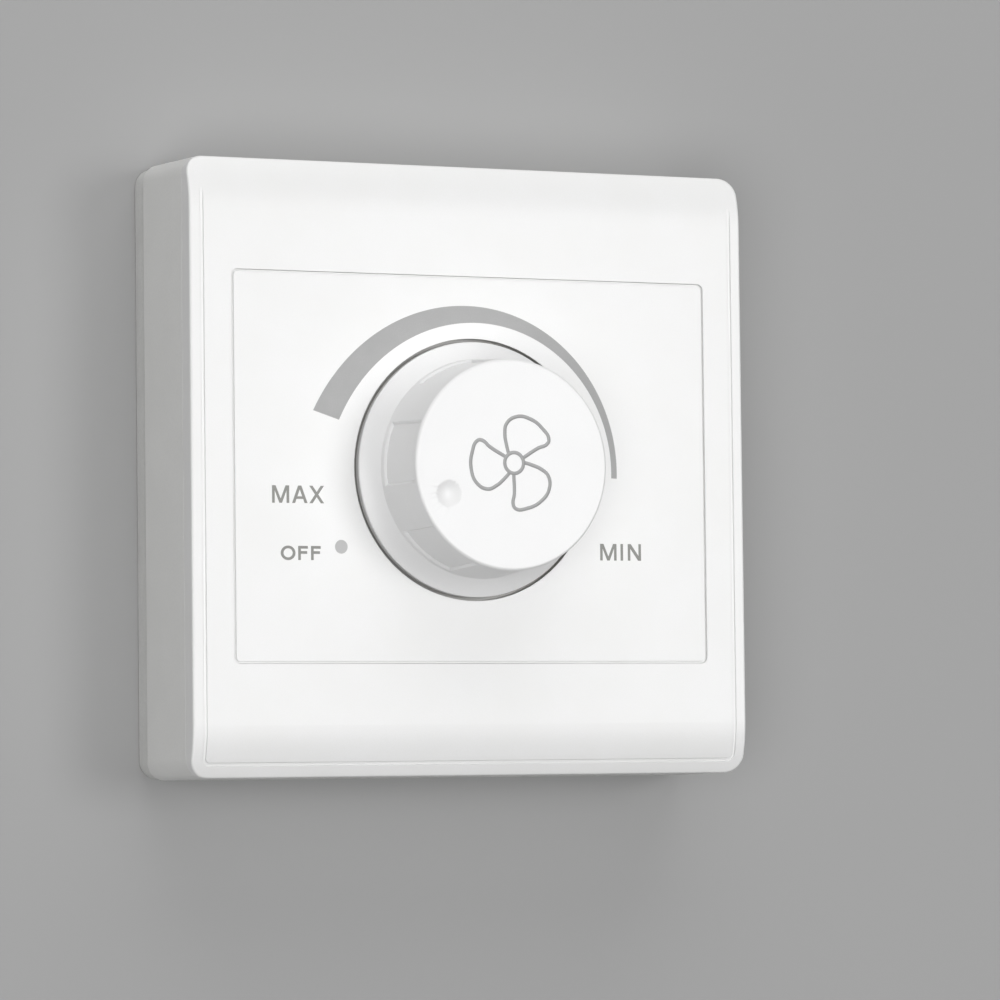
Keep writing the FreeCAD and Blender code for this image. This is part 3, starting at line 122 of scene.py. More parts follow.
def from_axis(tree: NodeTree, place: NodeSocket, axis: str) -> tuple[NodeSocket, NodeSocket]:
    """Add the nodes that measure a place from an axis.

    Args:
        tree: The tree that takes the nodes.
        place: The place as a vector.
        axis: X, Y or Z.

    Returns:
        The distance from the axis, and the place along it.
    """
    split = add_node(tree, "ShaderNodeSeparateXYZ", {"Vector": place})
    across = [split.outputs[name] for name in "XYZ" if name != axis]
    flat = add_node(tree, "ShaderNodeCombineXYZ", dict(enumerate(across)))
    radius = add_node(tree, "ShaderNodeVectorMath", {0: flat}, operation="LENGTH")
    return radius.outputs["Value"], split.outputs[axis]


class Grain(Enum):
    """How the surface of a finish was worked."""

    MOULDED = "moulded"
    BRUSHED = "brushed"
    TURNED = "turned"
    WOVEN = "woven"
    PRESSED = "pressed"


@dataclass(frozen=True)
class Finish:
    """A surface that is built as a procedural material.

    Attributes:
        name: The plain name of the real material.
        colour: Its main sRGB colour.
        shade: The sRGB colour that it varies towards.
        roughness: Mean roughness of the surface.
        roughness_spread: How far the roughness varies across the surface.
        grain: How the surface was worked.
        grain_mm: Real size of the grain, in millimetres.
        relief_mm: Height of the relief, in millimetres.
        mottle_mm: Size of the slow colour variation, in millimetres.
        metallic: One on bare metal.
        ior: Index of refraction of plastics and ceramics.
        coat: Weight of a clear coat or skin.
        edge_mm: Radius to which moulding rounds a sharp edge, in millimetres.
        axis: Direction of the brushing, or the axis of the turning.
        streak: Length of a brushed line, in grains.
        weave: Scale of a weave's waves against the grain, and how far they waver.
        mottle_span: Pattern values at which the shade ends and the main colour starts.
        coat_roughness: Roughness of the clear coat.
        edge_samples: Samples that look for a sharp edge.
    """

    name: str
    colour: str
    shade: str
    roughness: float
    roughness_spread: float = 0.05
    grain: Grain = Grain.MOULDED
    grain_mm: float = 0.25
    relief_mm: float = 0.004
    mottle_mm: float = 9.0
    metallic: float = 0.0
    ior: float = 1.5
    coat: float = 0.0
    edge_mm: float = 0.0
    axis: str = "Y"
    streak: float = 30.0
    weave: tuple[float, float] = (0.16, 0.6)
    mottle_span: tuple[float, float] = (0.12, 0.42)
    coat_roughness: float = 0.12
    edge_samples: int = 6

    def stretch(self) -> tuple[float, ...]:
        """Work out the scale of the grain pattern.

        Returns:
            The scale along X, Y and Z.
        """
        fine = 1 / (self.grain_mm * MM)
        along = fine / self.streak if self.grain is Grain.BRUSHED else fine
        return tuple(along if name == self.axis else fine for name in "XYZ")

    def grain_height(self, tree: NodeTree, place: NodeSocket) -> NodeSocket:
        """Add the nodes of the fine relief.

        Args:
            tree: The material's tree.
            place: Object coordinates in metres.

        Returns:
            A height between zero and one.
        """
        scaled = add_node(tree, "ShaderNodeMapping", {"Vector": place, "Scale": self.stretch()})
        if self.grain is Grain.WOVEN:
            threads, waver = self.weave
            waves = [add_node(tree, "ShaderNodeTexWave", {
                "Vector": scaled, "Scale": threads, "Distortion": waver,
            }, bands_direction=way).outputs["Fac"] for way in "XZ"]
            return add_node(
                tree, "ShaderNodeMath", dict(enumerate(waves)), operation="MAXIMUM"
            ).outputs[0]
        if self.grain is Grain.TURNED:
            distance, along = from_axis(tree, scaled.outputs["Vector"], self.axis)
            rings = add_node(tree, "ShaderNodeMath", {0: distance, 1: along}, operation="ADD")
            return add_node(tree, "ShaderNodeTexNoise", {
                "W": rings, "Scale": 1.0, "Detail": 3.0,
            }, noise_dimensions="1D").outputs["Fac"]
        return add_node(tree, "ShaderNodeTexNoise", {
            "Vector": scaled, "Scale": 1.0, "Detail": 6.0 if self.grain is Grain.PRESSED else 2.0,
        }).outputs["Fac"]

    def marks(self, tree: NodeTree, place: NodeSocket) -> list[tuple[Node, str]]:
        """Return where paint or painted shade covers the plain colour, which is nowhere."""
        return []

    def colouring(self, tree: NodeTree, place: NodeSocket, height: NodeSocket) -> NodeSocket:
        """Add the nodes of the colour.

        Args:
            tree: The material's tree.
            place: Object coordinates in metres.
            height: The fine relief.

        Returns:
            The base colour.
        """
        mottle = add_node(tree, "ShaderNodeTexNoise", {
            "Vector": place, "Scale": 1 / (self.mottle_mm * MM), "Detail": 2.0,
        })
        both = add_node(tree, "ShaderNodeMath", {
            0: mottle.outputs["Fac"], 1: height,
        }, operation="MULTIPLY")
        ramp = add_node(tree, "ShaderNodeMapRange", {
            "Value": both, "From Min": self.mottle_span[0], "From Max": self.mottle_span[1],
        })
        mix = add_node(tree, "ShaderNodeMix", {
            0: ramp, 6: linear(self.shade), 7: linear(self.colour),
        }, data_type="RGBA")
        for mask, paint in self.marks(tree, place):
            mix = add_node(tree, "ShaderNodeMix", {
                0: mask, 6: mix.outputs[2], 7: linear(paint),
            }, data_type="RGBA")
        return mix.outputs[2]

    @cached_property
    def material(self) -> Material:
        """Build the one material of the finish, when it is first asked for.

        Returns:
            The material.
        """
        material = bpy.data.materials.new(self.name)
        tree = cleared(material)
        place = add_node(tree, "ShaderNodeTexCoord").outputs["Object"]
        height = self.grain_height(tree, place)
        half = self.roughness_spread / 2
        rough = add_node(tree, "ShaderNodeMapRange", {
            "Value": height, "To Min": self.roughness - half, "To Max": self.roughness + half,
        })
        bump = add_node(tree, "ShaderNodeBump", {
            "Strength": 1.0, "Distance": self.relief_mm * MM, "Height": height,
        })
        if self.edge_mm:
            edge = add_node(tree, "ShaderNodeBevel", {
                "Radius": self.edge_mm * MM,
            }, samples=self.edge_samples)
            tree.links.new(edge.outputs[0], bump.inputs["Normal"])
        shader = add_node(tree, "ShaderNodeBsdfPrincipled", {
            "Base Color": self.colouring(tree, place, height), "Roughness": rough,
            "Normal": bump, "Metallic": self.metallic,
        })
        if not self.metallic:
            shader.inputs["IOR"].default_value = self.ior
        if self.coat:
            shader.inputs["Coat Weight"].default_value = self.coat
            shader.inputs["Coat Roughness"].default_value = self.coat_roughness
        add_node(tree, "ShaderNodeOutputMaterial", {"Surface": shader})
        return material

    def dress(self, mesh: Mesh) -> None:
        """Leave this finish alone on a mesh."""
        mesh.materials.clear()
        mesh.materials.append(self.material)


@dataclass(frozen=True)
class BandedFinish(Finish):
    """A lacquered body with painted bands across the X axis.

    Attributes:
        bands: Position of each band's middle in millimetres, with its sRGB colour.
        band_mm: Width of a band, in millimetres.
    """

    bands: tuple[tuple[float, str], ...] = ()
    band_mm: float = 0.55

    def marks(self, tree: NodeTree, place: NodeSocket) -> list[tuple[Node, str]]:
        """Add the nodes that find the painted bands.

        Args:
            tree: The material's tree.
            place: Object coordinates in metres.

        Returns:
            A mask for each band, with the band's sRGB colour.
        """
        split = add_node(tree, "ShaderNodeSeparateXYZ", {"Vector": place})
        return [(add_node(tree, "ShaderNodeMath", {
            0: split.outputs["X"], 1: middle * MM, 2: self.band_mm * MM / 2,
        }, operation="COMPARE"), paint) for middle, paint in self.bands]


@dataclass(frozen=True)
class GapShadeFinish(Finish):
    """A moulding with shade painted as a darker colour in a deep, round gap.

    Attributes:
        painted_shade: The sRGB colour of the shade painted in the gap.
        ring_mm: Middle radius of the gap about the Y axis, and its half width, in millimetres.
        face_mm: Level of the face in front of the painted shade, in millimetres.
    """

    # Painted shade: this darker colour stands in for the shade in the deep gap round the knob.
    painted_shade: str = "#A5A4A1"
    ring_mm: tuple[float, float] = (18.2, 0.4)
    face_mm: float = 19.95

    def marks(self, tree: NodeTree, place: NodeSocket) -> list[tuple[Node, str]]:
        """Add the nodes that find where shade is painted in the gap.

        Args:
            tree: The material's tree.
            place: Object coordinates in metres.

        Returns:
            The mask of the painted shade, with its sRGB colour.
        """
        distance, along = from_axis(tree, place, "Y")
        middle, spread = self.ring_mm
        ring = add_node(tree, "ShaderNodeMath", {
            0: distance, 1: middle * MM, 2: spread * MM,
        }, operation="COMPARE")
        deep = add_node(tree, "ShaderNodeMath", {
            0: along, 1: -self.face_mm * MM,
        }, operation="GREATER_THAN")
        return [(add_node(tree, "ShaderNodeMath", {0: ring, 1: deep}, operation="MULTIPLY"),
                 self.painted_shade)]


class Finishes:
    """Every finish of the switch, handed out by material slot."""

    # Urea moulding gives a dense white with a faint satin sheen and almost no colour change.
    COVER = Finish("satin_white_urea_moulding", "#F2F2F2", "#EFEFEE", 0.34, 0.06, grain_mm=0.18,
                   relief_mm=0.0012, ior=1.55, edge_mm=0.14)
    # Shade is painted as a dark ring in the gap round the knob, on the same moulding.
    CENTRE = GapShadeFinish(**{**asdict(COVER), "name": "shade_painted_white_urea_moulding"})
    # The knob is the same moulding, polished a little more by fingers.
    KNOB = replace(COVER, name="polished_white_urea_moulding", colour="#F1F1F1", shade="#EEEEEE",
                   roughness=0.30, relief_mm=0.0010, edge_mm=0.12)
    # ABS from a spark-eroded tool scatters light, so the case looks softer than the cover.
    CASE = Finish("spark_textured_white_abs", "#EFEFED", "#EAEAE8", 0.50, 0.10, grain_mm=0.30,
                  relief_mm=0.0060, ior=1.53, edge_mm=0.20)
    # The wall plate is moulded from a greyer ABS than the case, with flow marks.
    PLATE = Finish("greyer_white_abs", "#E3E3E1", "#DADAD8", 0.54, 0.12, grain_mm=0.34,
                   relief_mm=0.0080, mottle_mm=6.0, ior=1.53, edge_mm=0.20)
    # Glass-filled nylon shows a greyish, slightly cloudy skin.
    CHASSIS = Finish("glass_filled_grey_nylon", "#8D8F92", "#7C7F83", 0.55, 0.14, grain_mm=0.35,
                     relief_mm=0.0060, mottle_mm=4.0, ior=1.53)
    # Zinc plating keeps the fine drawing lines of the steel under a bluish grey.
    ZINC = Finish("zinc_plated_steel", "#BFC2C6", "#A6AAAF", 0.32, 0.16, Grain.BRUSHED, 0.12,
                  0.0015, 3.0, metallic=1.0, axis="X")
    # Tempered strip is darker, with lines along the rolling direction.
    SPRING = Finish("tempered_spring_steel", "#8F9299", "#6F7278", 0.30, 0.12, Grain.BRUSHED,
                    0.10, 0.0010, 2.0, metallic=1.0, axis="Y")
    # Lathe work leaves rings about the shaft's axis.
    SHAFT = Finish("turned_aluminium", "#C9CBCE", "#B2B4B8", 0.28, 0.14, Grain.TURNED, 0.14,
                   0.0020, 3.0, metallic=1.0)
    # Rolled sheet shows long lines and a dull grey oxide.
    SINK = Finish("rolled_aluminium_sheet", "#C4C6C9", "#A9ACB0", 0.38, 0.14, Grain.BRUSHED,
                  0.16, 0.0020, 5.0, metallic=1.0, axis="Z")
    # Free-cutting brass tarnishes to a browner yellow in patches.
    BRASS = Finish("turned_brass", "#CFA24E", "#A9803A", 0.30, 0.14, Grain.TURNED, 0.14, 0.0018,
                   1.6, metallic=1.0)
    # Punched phenolic paper is brown with fine fibres.
    WAFER = Finish("phenolic_paper_wafer", "#7A5230", "#5F3D22", 0.52, 0.16, Grain.PRESSED, 0.40,
                   0.0040, 2.5, ior=1.56)
    # The board's glass cloth prints through the resin as a small weave.
    BOARD = Finish("epoxy_glass_laminate", "#B39A5E", "#8F7A42", 0.38, 0.12, Grain.WOVEN, 0.50,
                   0.0040, 6.0, ior=1.55, coat=0.2)
    # Mineral-filled phenolic moulding is a dull black with grey flecks.
    BLACK = Finish("black_phenolic_moulding", "#1B1B1D", "#29292B", 0.48, 0.16, Grain.PRESSED,
                   0.30, 0.0050, 2.0, ior=1.58)
    # Wrapped polyester film is a glossy ochre yellow.
    FILM = Finish("yellow_polyester_case", "#D9A92B", "#C6951F", 0.26, 0.10, grain_mm=0.45,
                  relief_mm=0.0050, mottle_mm=5.0, ior=1.57, coat=0.3)
    # Dipped epoxy pulls into a thick orange-brown skin with a wavy surface.
    DIPPED = Finish("dipped_brown_epoxy", "#8A3A1E", "#6E2A14", 0.22, 0.12, grain_mm=1.2,
                    relief_mm=0.0500, mottle_mm=3.0, ior=1.55, coat=0.5)
    # Sintered ferrite is a dark grey stone with open grain.
    FERRITE = Finish("sintered_ferrite", "#3A3A3E", "#2A2A2E", 0.66, 0.16, Grain.PRESSED, 0.22,
                     0.0090, 1.5, ior=1.8)
    # Enamel turns bare copper a deep, glossy red-brown.
    COPPER = Finish("enamelled_copper_wire", "#B5622E", "#8F4620", 0.24, 0.10, Grain.PRESSED,
                    0.60, 0.0020, 2.5, metallic=1.0, coat=0.6)
    # The resistors' blue lacquer carries painted value bands.
    RESISTOR = BandedFinish("lacquered_resistor", "#6FA3BF", "#5C90AD", 0.30, 0.10, grain_mm=0.5,
                            relief_mm=0.0060, mottle_mm=2.0, ior=1.52, coat=0.4,
                            bands=((0.75, "#3B2418"), (2.1, "#141414"), (3.4, "#C9641D"),
                                   (5.75, "#B58A2C")))
    # Nylon terminal blocks are a saturated green with a soft shine.
    TERMINAL = Finish("green_nylon_moulding", "#2E7A4E", "#26683F", 0.42, 0.12, grain_mm=0.3,
                      relief_mm=0.0040, mottle_mm=4.0, ior=1.53)
    # The fuse's can is a dark brown moulding, polished by its tool.
    FUSE = Finish("brown_phenolic_can", "#3B271C", "#2C1C13", 0.34, 0.12, grain_mm=0.3,
                  relief_mm=0.0030, mottle_mm=3.0, ior=1.58)
    # Pad-printing ink is matt grey and slightly uneven at its edge.
    INK = Finish("grey_pad_printing_ink", "#B2B2B2", "#ACACAC", 0.60, 0.10, grain_mm=0.2,
                 relief_mm=0.0015, mottle_mm=3.0, ior=1.48)
    # The words are printed in a darker, warmer ink than the scale.
    LETTER_INK = replace(INK, name="warm_grey_letter_ink", colour="#969692", shade="#90908C")
    # The off dot is a paler tint of the same ink.
    DOT_INK = replace(INK, name="pale_grey_pad_printing_ink", colour="#C4C4C4", shade="#BFBFBF")
    # Solder freezes bright, with a slightly frosted skin.
    SOLDER = Finish("tin_solder", "#C8CACC", "#AEB1B4", 0.30, 0.16, Grain.PRESSED, 0.35, 0.0040,
                    1.5, metallic=1.0)

    BY_SLOT = {
        "cover_white": COVER, "knob_white": KNOB, "case_white": CASE, "chassis_grey": CHASSIS,
        "zinc_steel": ZINC, "spring_steel": SPRING, "shaft_aluminium": SHAFT,
        "sink_aluminium": SINK, "brass": BRASS, "phenolic_brown": WAFER, "board_laminate": BOARD,
        "moulding_black": BLACK, "film_yellow": FILM, "dipped_red": DIPPED,
        "ferrite_grey": FERRITE, "copper_wire": COPPER, "resistor_blue": RESISTOR,
        "terminal_green": TERMINAL, "fuse_brown": FUSE,
    }
    BY_NODE = {"wall_plate": PLATE, "centre_plate": CENTRE}

    def dress_frame(self) -> None:
        """Give every carried-over solid the finish of its material slot."""
        for part in frame["record"]["subparts"]:
            finish = self.BY_NODE.get(part["node"], self.BY_SLOT[part["material_slot"]])
            finish.dress(frame["nodes"][part["node"]].data)
            LOG.info("%s is %s", part["node"], finish.name)


def add_object(name: str, data: Any) -> Object:
    """Link a new object.

    Args:
        name: Name of the object.
        data: The mesh, curve, lamp or camera that it carries.

    Returns:
        The new object, at the origin.
    """
    thing = bpy.data.objects.new(name, data)
    bpy.context.collection.objects.link(thing)
    return thing


@dataclass
class Piece:
    """A finished mesh that rides with one body of the switch.

    Attributes:
        name: Name of the object.
        body: Body that it moves with.
        slot: Material slot of the record; it is not used.
    """

    name: str
    body: str
    slot: str

    def settle(self, mesh: Mesh) -> Object:
        """Put a finished mesh in the scene.

        Args:
            mesh: A mesh with its place in its points.

        Returns:
            The new object, riding with its body.
        """
        mesh.name = self.name
        thing = add_object(self.name, mesh)
        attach(thing, self.body)
        LOG.info("%s rides with %s: %d faces", self.name, self.body, len(mesh.polygons))
        return thing


def evaluated(carrier: Object) -> Mesh:
    """Turn an object and its modifiers into a plain mesh, and remove the object.

    Args:
        carrier: An object that is only a carrier.

    Returns:
        The plain mesh.
    """
    graph = bpy.context.evaluated_depsgraph_get()
    mesh = bpy.data.meshes.new_from_object(carrier.evaluated_get(graph), depsgraph=graph)
    carrier.modifiers.clear()
    bpy.data.objects.remove(carrier)
    return mesh


def socket_id(tree: NodeTree, name: str) -> str:
    """Return the identifier of a node group's named input."""
    return next(item.identifier for item in tree.interface.items_tree
                if item.item_type == "SOCKET" and item.in_out == "INPUT" and item.name == name)


def new_group(name: str, sizes: dict[str, str]) -> tuple[NodeTree, Node]:
    """Start a geometry tree.

    Args:
        name: Name of the tree.
        sizes: Name of each input, with the end of its socket type's name.

    Returns:
        The tree and its input node.
    """
    tree = bpy.data.node_groups.new(name, "GeometryNodeTree")
    for label, kind in {"Geometry": "Geometry", **sizes}.items():
        tree.interface.new_socket(label, in_out="INPUT", socket_type=f"NodeSocket{kind}")
    tree.interface.new_socket("Geometry", in_out="OUTPUT", socket_type="NodeSocketGeometry")
    return tree, add_node(tree, "NodeGroupInput")


def bake(tree: NodeTree, base: Mesh, values: dict[str, Any]) -> Mesh:
    """Run a geometry tree on a mesh and keep the result.

    Args:
        tree: The finished tree.
        base: The mesh that the tree starts from.
        values: A value for each named input.

    Returns:
        A plain mesh.
    """
    carrier = add_object("carrier", base)
    modifier = carrier.modifiers.new("nodes", "NODES")
    modifier.node_group = tree
    for name, value in values.items():
        modifier[socket_id(tree, name)] = value
    return evaluated(carrier)


def close_tree(tree: NodeTree, geometry: Node, finish: Finish) -> None:
    """End a tree in realized instances with one finish.

    Args:
        tree: The tree.
        geometry: Its last node.
        finish: The finish of all that it makes.
    """
    real = add_node(tree, "GeometryNodeRealizeInstances", {"Geometry": geometry})
    painted = add_node(tree, "GeometryNodeSetMaterial", {
        "Geometry": real, "Material": finish.material,
    })
    add_node(tree, "NodeGroupOutput", {"Geometry": painted})


def mesh_of(curve: Curve) -> Mesh:
    """Turn a curve into a plain mesh.

    Args:
        curve: The drawn curve.

    Returns:
        Its mesh, whose doubled points are merged.
    """
    mesh = evaluated(add_object("carrier", curve))
    work = bmesh.new()
    work.from_mesh(mesh)
    bmesh.ops.remove_doubles(work, verts=work.verts, dist=WELD)
    if work.faces:
        bmesh.ops.recalc_face_normals(work, faces=work.faces)
    work.to_mesh(mesh)
    work.free()
    return mesh


def through(values: Sequence[float], part: float) -> float:
    """Follow the smooth curve through evenly spaced values.

    Args:
        values: The values, from first to last.
        part: Place along them, from zero to one.

    Returns:
        The value at that place.
    """
    last = len(values) - 1
    total = 0.0
    for index, value in enumerate(values):
        others = [other for other in range(len(values)) if other != index]
        total += value * math.prod((part * last - other) / (index - other) for other in others)
    return total


def film_mesh(rails: Sequence[tuple[float, float]], level: float, rise: float) -> Mesh:
    """Make a thin printed film out of a strip.

    Args:
        rails: X and Z in millimetres of points on the strip's two sides in turn. A strip that
            ends where it starts is a ring.
        level: Distance of the printed surface from the wall, in millimetres.
        rise: Thickness of the film, in millimetres.

    Returns:
        A closed mesh.
    """
    work = bmesh.new()
    rows = []
    for near, far in zip(rails[0::2], rails[1::2]):
        rows.append([work.verts.new(Vector((x, -height, z)) * MM)
                     for height in (level, level + rise) for x, z in (near, far)])
    looped = (rows[0][0].co - rows[-1][0].co).length < WELD
    if looped:
        for vert in rows[-1]:
            work.verts.remove(vert)
        rows[-1] = rows[0]
    for first, second in zip(rows, rows[1:]):
        for a, b in ((0, 1), (1, 3), (3, 2), (2, 0)):
            work.faces.new((first[a], first[b], second[b], second[a]))
    if not looped:
        for end, order in ((rows[0], (0, 2, 3, 1)), (rows[-1], (0, 1, 3, 2))):
            work.faces.new([end[corner] for corner in order])
    bmesh.ops.recalc_face_normals(work, faces=work.faces)
    mesh = bpy.data.meshes.new("film")
    work.to_mesh(mesh)
    work.free()
    return mesh


def capital(name: str, w: float, t: float) -> tuple[Outline, ...]:
    """Draw the outlines of a plain upright capital of one even stroke.

    Args:
        name: The capital.
        w: Its width, in cap heights.
        t: The width of its stroke, in cap heights.

    Returns:
        Its closed outlines, in cap heights.
    """
    half = w / 2
    if name == "I":
        return (((0, 0), (t, 0), (t, 1), (0, 1)),)
    if name == "F":
        arm, bar, thin = w * 0.92, 0.44, t * 0.95
        return (((0, 0), (t, 0), (t, bar), (arm, bar), (arm, bar + thin), (t, bar + thin),
                 (t, 1 - thin), (w, 1 - thin), (w, 1), (0, 1)),)
    # Height to which the inner edge of an upright is free, below a slanting stroke.
    free = 0.72
    if name == "M":
        valley, shoulder = 0.24, t * 1.35
        return (((0, 0), (t, 0), (t, free), (half - t * 0.5, 0), (half + t * 0.5, 0),
                 (w - t, free), (w - t, 0), (w, 0), (w, 1), (w - shoulder, 1),
                 (half, valley), (shoulder, 1), (0, 1)),)
    if name == "N":
        slant = t * 1.2
        return (((0, 0), (t, 0), (t, free), (w - slant, 0), (w, 0), (w, 1),
                 (w - t, 1), (w - t, 1 - free), (slant, 1), (0, 1)),)
    if name == "X":
        foot = t * 1.25
        notch = foot * 0.5 / (w - foot)
        side = half - foot / 2
        return (((0, 0), (foot, 0), (half, 0.5 - notch), (w - foot, 0), (w, 0),
                 (w - side, 0.5), (w, 1), (w - foot, 1), (half, 0.5 + notch), (foot, 1),
                 (0, 1), (side, 0.5)),)
    if name == "A":
        foot, top = t * 1.12, t * 0.62
        low, high = 0.235, 0.235 + t * 0.9
        below, above = (foot + level * (half - top) for level in (low, high))
        return (
            ((0, 0), (foot, 0), (below, low), (w - below, low), (w - foot, 0), (w, 0),
             (half + top, 1), (half - top, 1)),
            ((above, high), (half, (half - foot) / (half - top)), (w - above, high)),
        )
    # What is left is O, an oval that stands a little proud of the other capitals.
    tall, steps = 0.515, 40
    return tuple(
        tuple((half + across * math.cos(turn), 0.5 + up * math.sin(turn))
              for turn in (way * 2 * math.pi * step / steps for step in range(steps)))
        for across, up, way in ((half, tall, 1), (half - t * 1.05, tall - t * 0.95, -1))
    )


@dataclass(frozen=True)
class Word:
    """A printed word, with its place and its spacing in millimetres.

    Attributes:
        text: The word.
        left: X of its left edge.
        base: Z of its base line.
        height: Height of its capitals.
        widths: Width of each capital.
        gaps: Gap after each capital but the last.
    """

    text: str
    left: float
    base: float
    height: float
    widths: tuple[float, ...]
    gaps: tuple[float, ...]


@dataclass
class DialPrint:
    """The printing round the knob: words, off dot and speed scale.

    Attributes:
        face: Level of the centre plate's face, in millimetres.
        film: Thickness of the ink, in millimetres.
        stroke: Width of a letter's stroke, in millimetres.
        words: The printed words.
        dot: Angle, distance and radius of the off dot.
        dot_hole: Radius of the pinhole in the dot's mesh, as a share of the dot's.
        dot_steps: Segments round the dot.
        scale_start: Angle of the scale's wide end, in degrees.
        scale_end: Angle of its narrow end, in degrees.
        scale_inner: Inner radii, evenly spaced from the wide end to the narrow end.
        scale_outer: Outer radii at the same places.
        steps: Segments along the scale.
    """

    face: float = 20.0
    film: float = 0.012
    stroke: float = 0.40
    words: tuple[Word, ...] = (
        Word("MAX", -30.99, -5.03, 2.43, (2.58, 2.34, 2.23), (0.43, 0.27)),
        Word("OFF", -29.76, -12.93, 1.96, (2.22, 1.47, 1.47), (0.41, 0.47)),
        Word("MIN", 19.73, -12.64, 2.37, (2.62, 0.40, 2.12), (0.64, 0.76)),
    )
    dot: tuple[float, float, float] = (208.2, 23.36, 0.96)
    dot_hole: float = 0.02
    dot_steps: int = 48
    scale_start: float = 162.2
    scale_end: float = -2.4
    scale_inner: tuple[float, ...] = (21.80, 20.74, 20.85, 21.35, 21.66)
    scale_outer: tuple[float, ...] = (25.92, 23.84, 22.95, 22.60, 22.54)
    steps: int = 120

    def put(self, name: str, mesh: Mesh, finish: Finish) -> None:
        """Leave a printed mesh on the centre plate.

        Args:
            name: Name of the piece.
            mesh: The film of ink.
            finish: The ink.
        """
        finish.dress(mesh)
        Piece(name, "casing", "cover_white").settle(mesh)

    def word(self, word: Word) -> None:
        """Print one word.

        Args:
            word: The word with its place.
        """
        curve = bpy.data.curves.new(word.text, "CURVE")
        curve.dimensions = "2D"
        curve.fill_mode = "BOTH"
        curve.extrude = self.film * MM / 2
        left = word.left
        for name, width, gap in zip(word.text, word.widths, (*word.gaps, 0.0)):
            for loop in capital(name, width / word.height, self.stroke / word.height):
                spline = curve.splines.new("POLY")
                spline.points.add(len(loop) - 1)
                spline.use_cyclic_u = True
                for point, (x, y) in zip(spline.points, loop):
                    place = Vector((left + x * word.height, word.base + y * word.height, 0)) * MM
                    point.co = (*place, 1.0)
            left += width + gap
        mesh = mesh_of(curve)
        mesh.transform(Matrix.Rotation(math.radians(90), 4, "X"))
        mesh.transform(Matrix.Translation((0, -(self.face + self.film / 2) * MM, 0)))
        self.put(f"word_{word.text.lower()}", mesh, Finishes.LETTER_INK)

    def off_dot(self) -> None:
        """Print the dot that marks the off place."""
        angle, distance, radius = self.dot
        centre = Vector((math.cos(math.radians(angle)), math.sin(math.radians(angle)))) * distance
        rails = []
        for step in range(self.dot_steps + 1):
            turn = 2 * math.pi * step / self.dot_steps
            way = Vector((math.cos(turn), math.sin(turn))) * radius
            rails += [tuple(centre + way), tuple(centre + way * self.dot_hole)]
        self.put("off_dot", film_mesh(rails, self.face, self.film), Finishes.DOT_INK)

    def speed_scale(self) -> None:
        """Print the scale that tapers from the fast end to the slow end."""
        rails = []
        for step in range(self.steps + 1):
            part = step / self.steps
            angle = math.radians(self.scale_start + (self.scale_end - self.scale_start) * part)
            for radii in (self.scale_inner, self.scale_outer):
                radius = through(radii, part)
                rails.append((radius * math.cos(angle), radius * math.sin(angle)))
        self.put("speed_scale", film_mesh(rails, self.face, self.film), Finishes.INK)

    def build(self) -> None:
        """Print everything on the centre plate."""
        for word in self.words:
            self.word(word)
        self.off_dot()
        self.speed_scale()


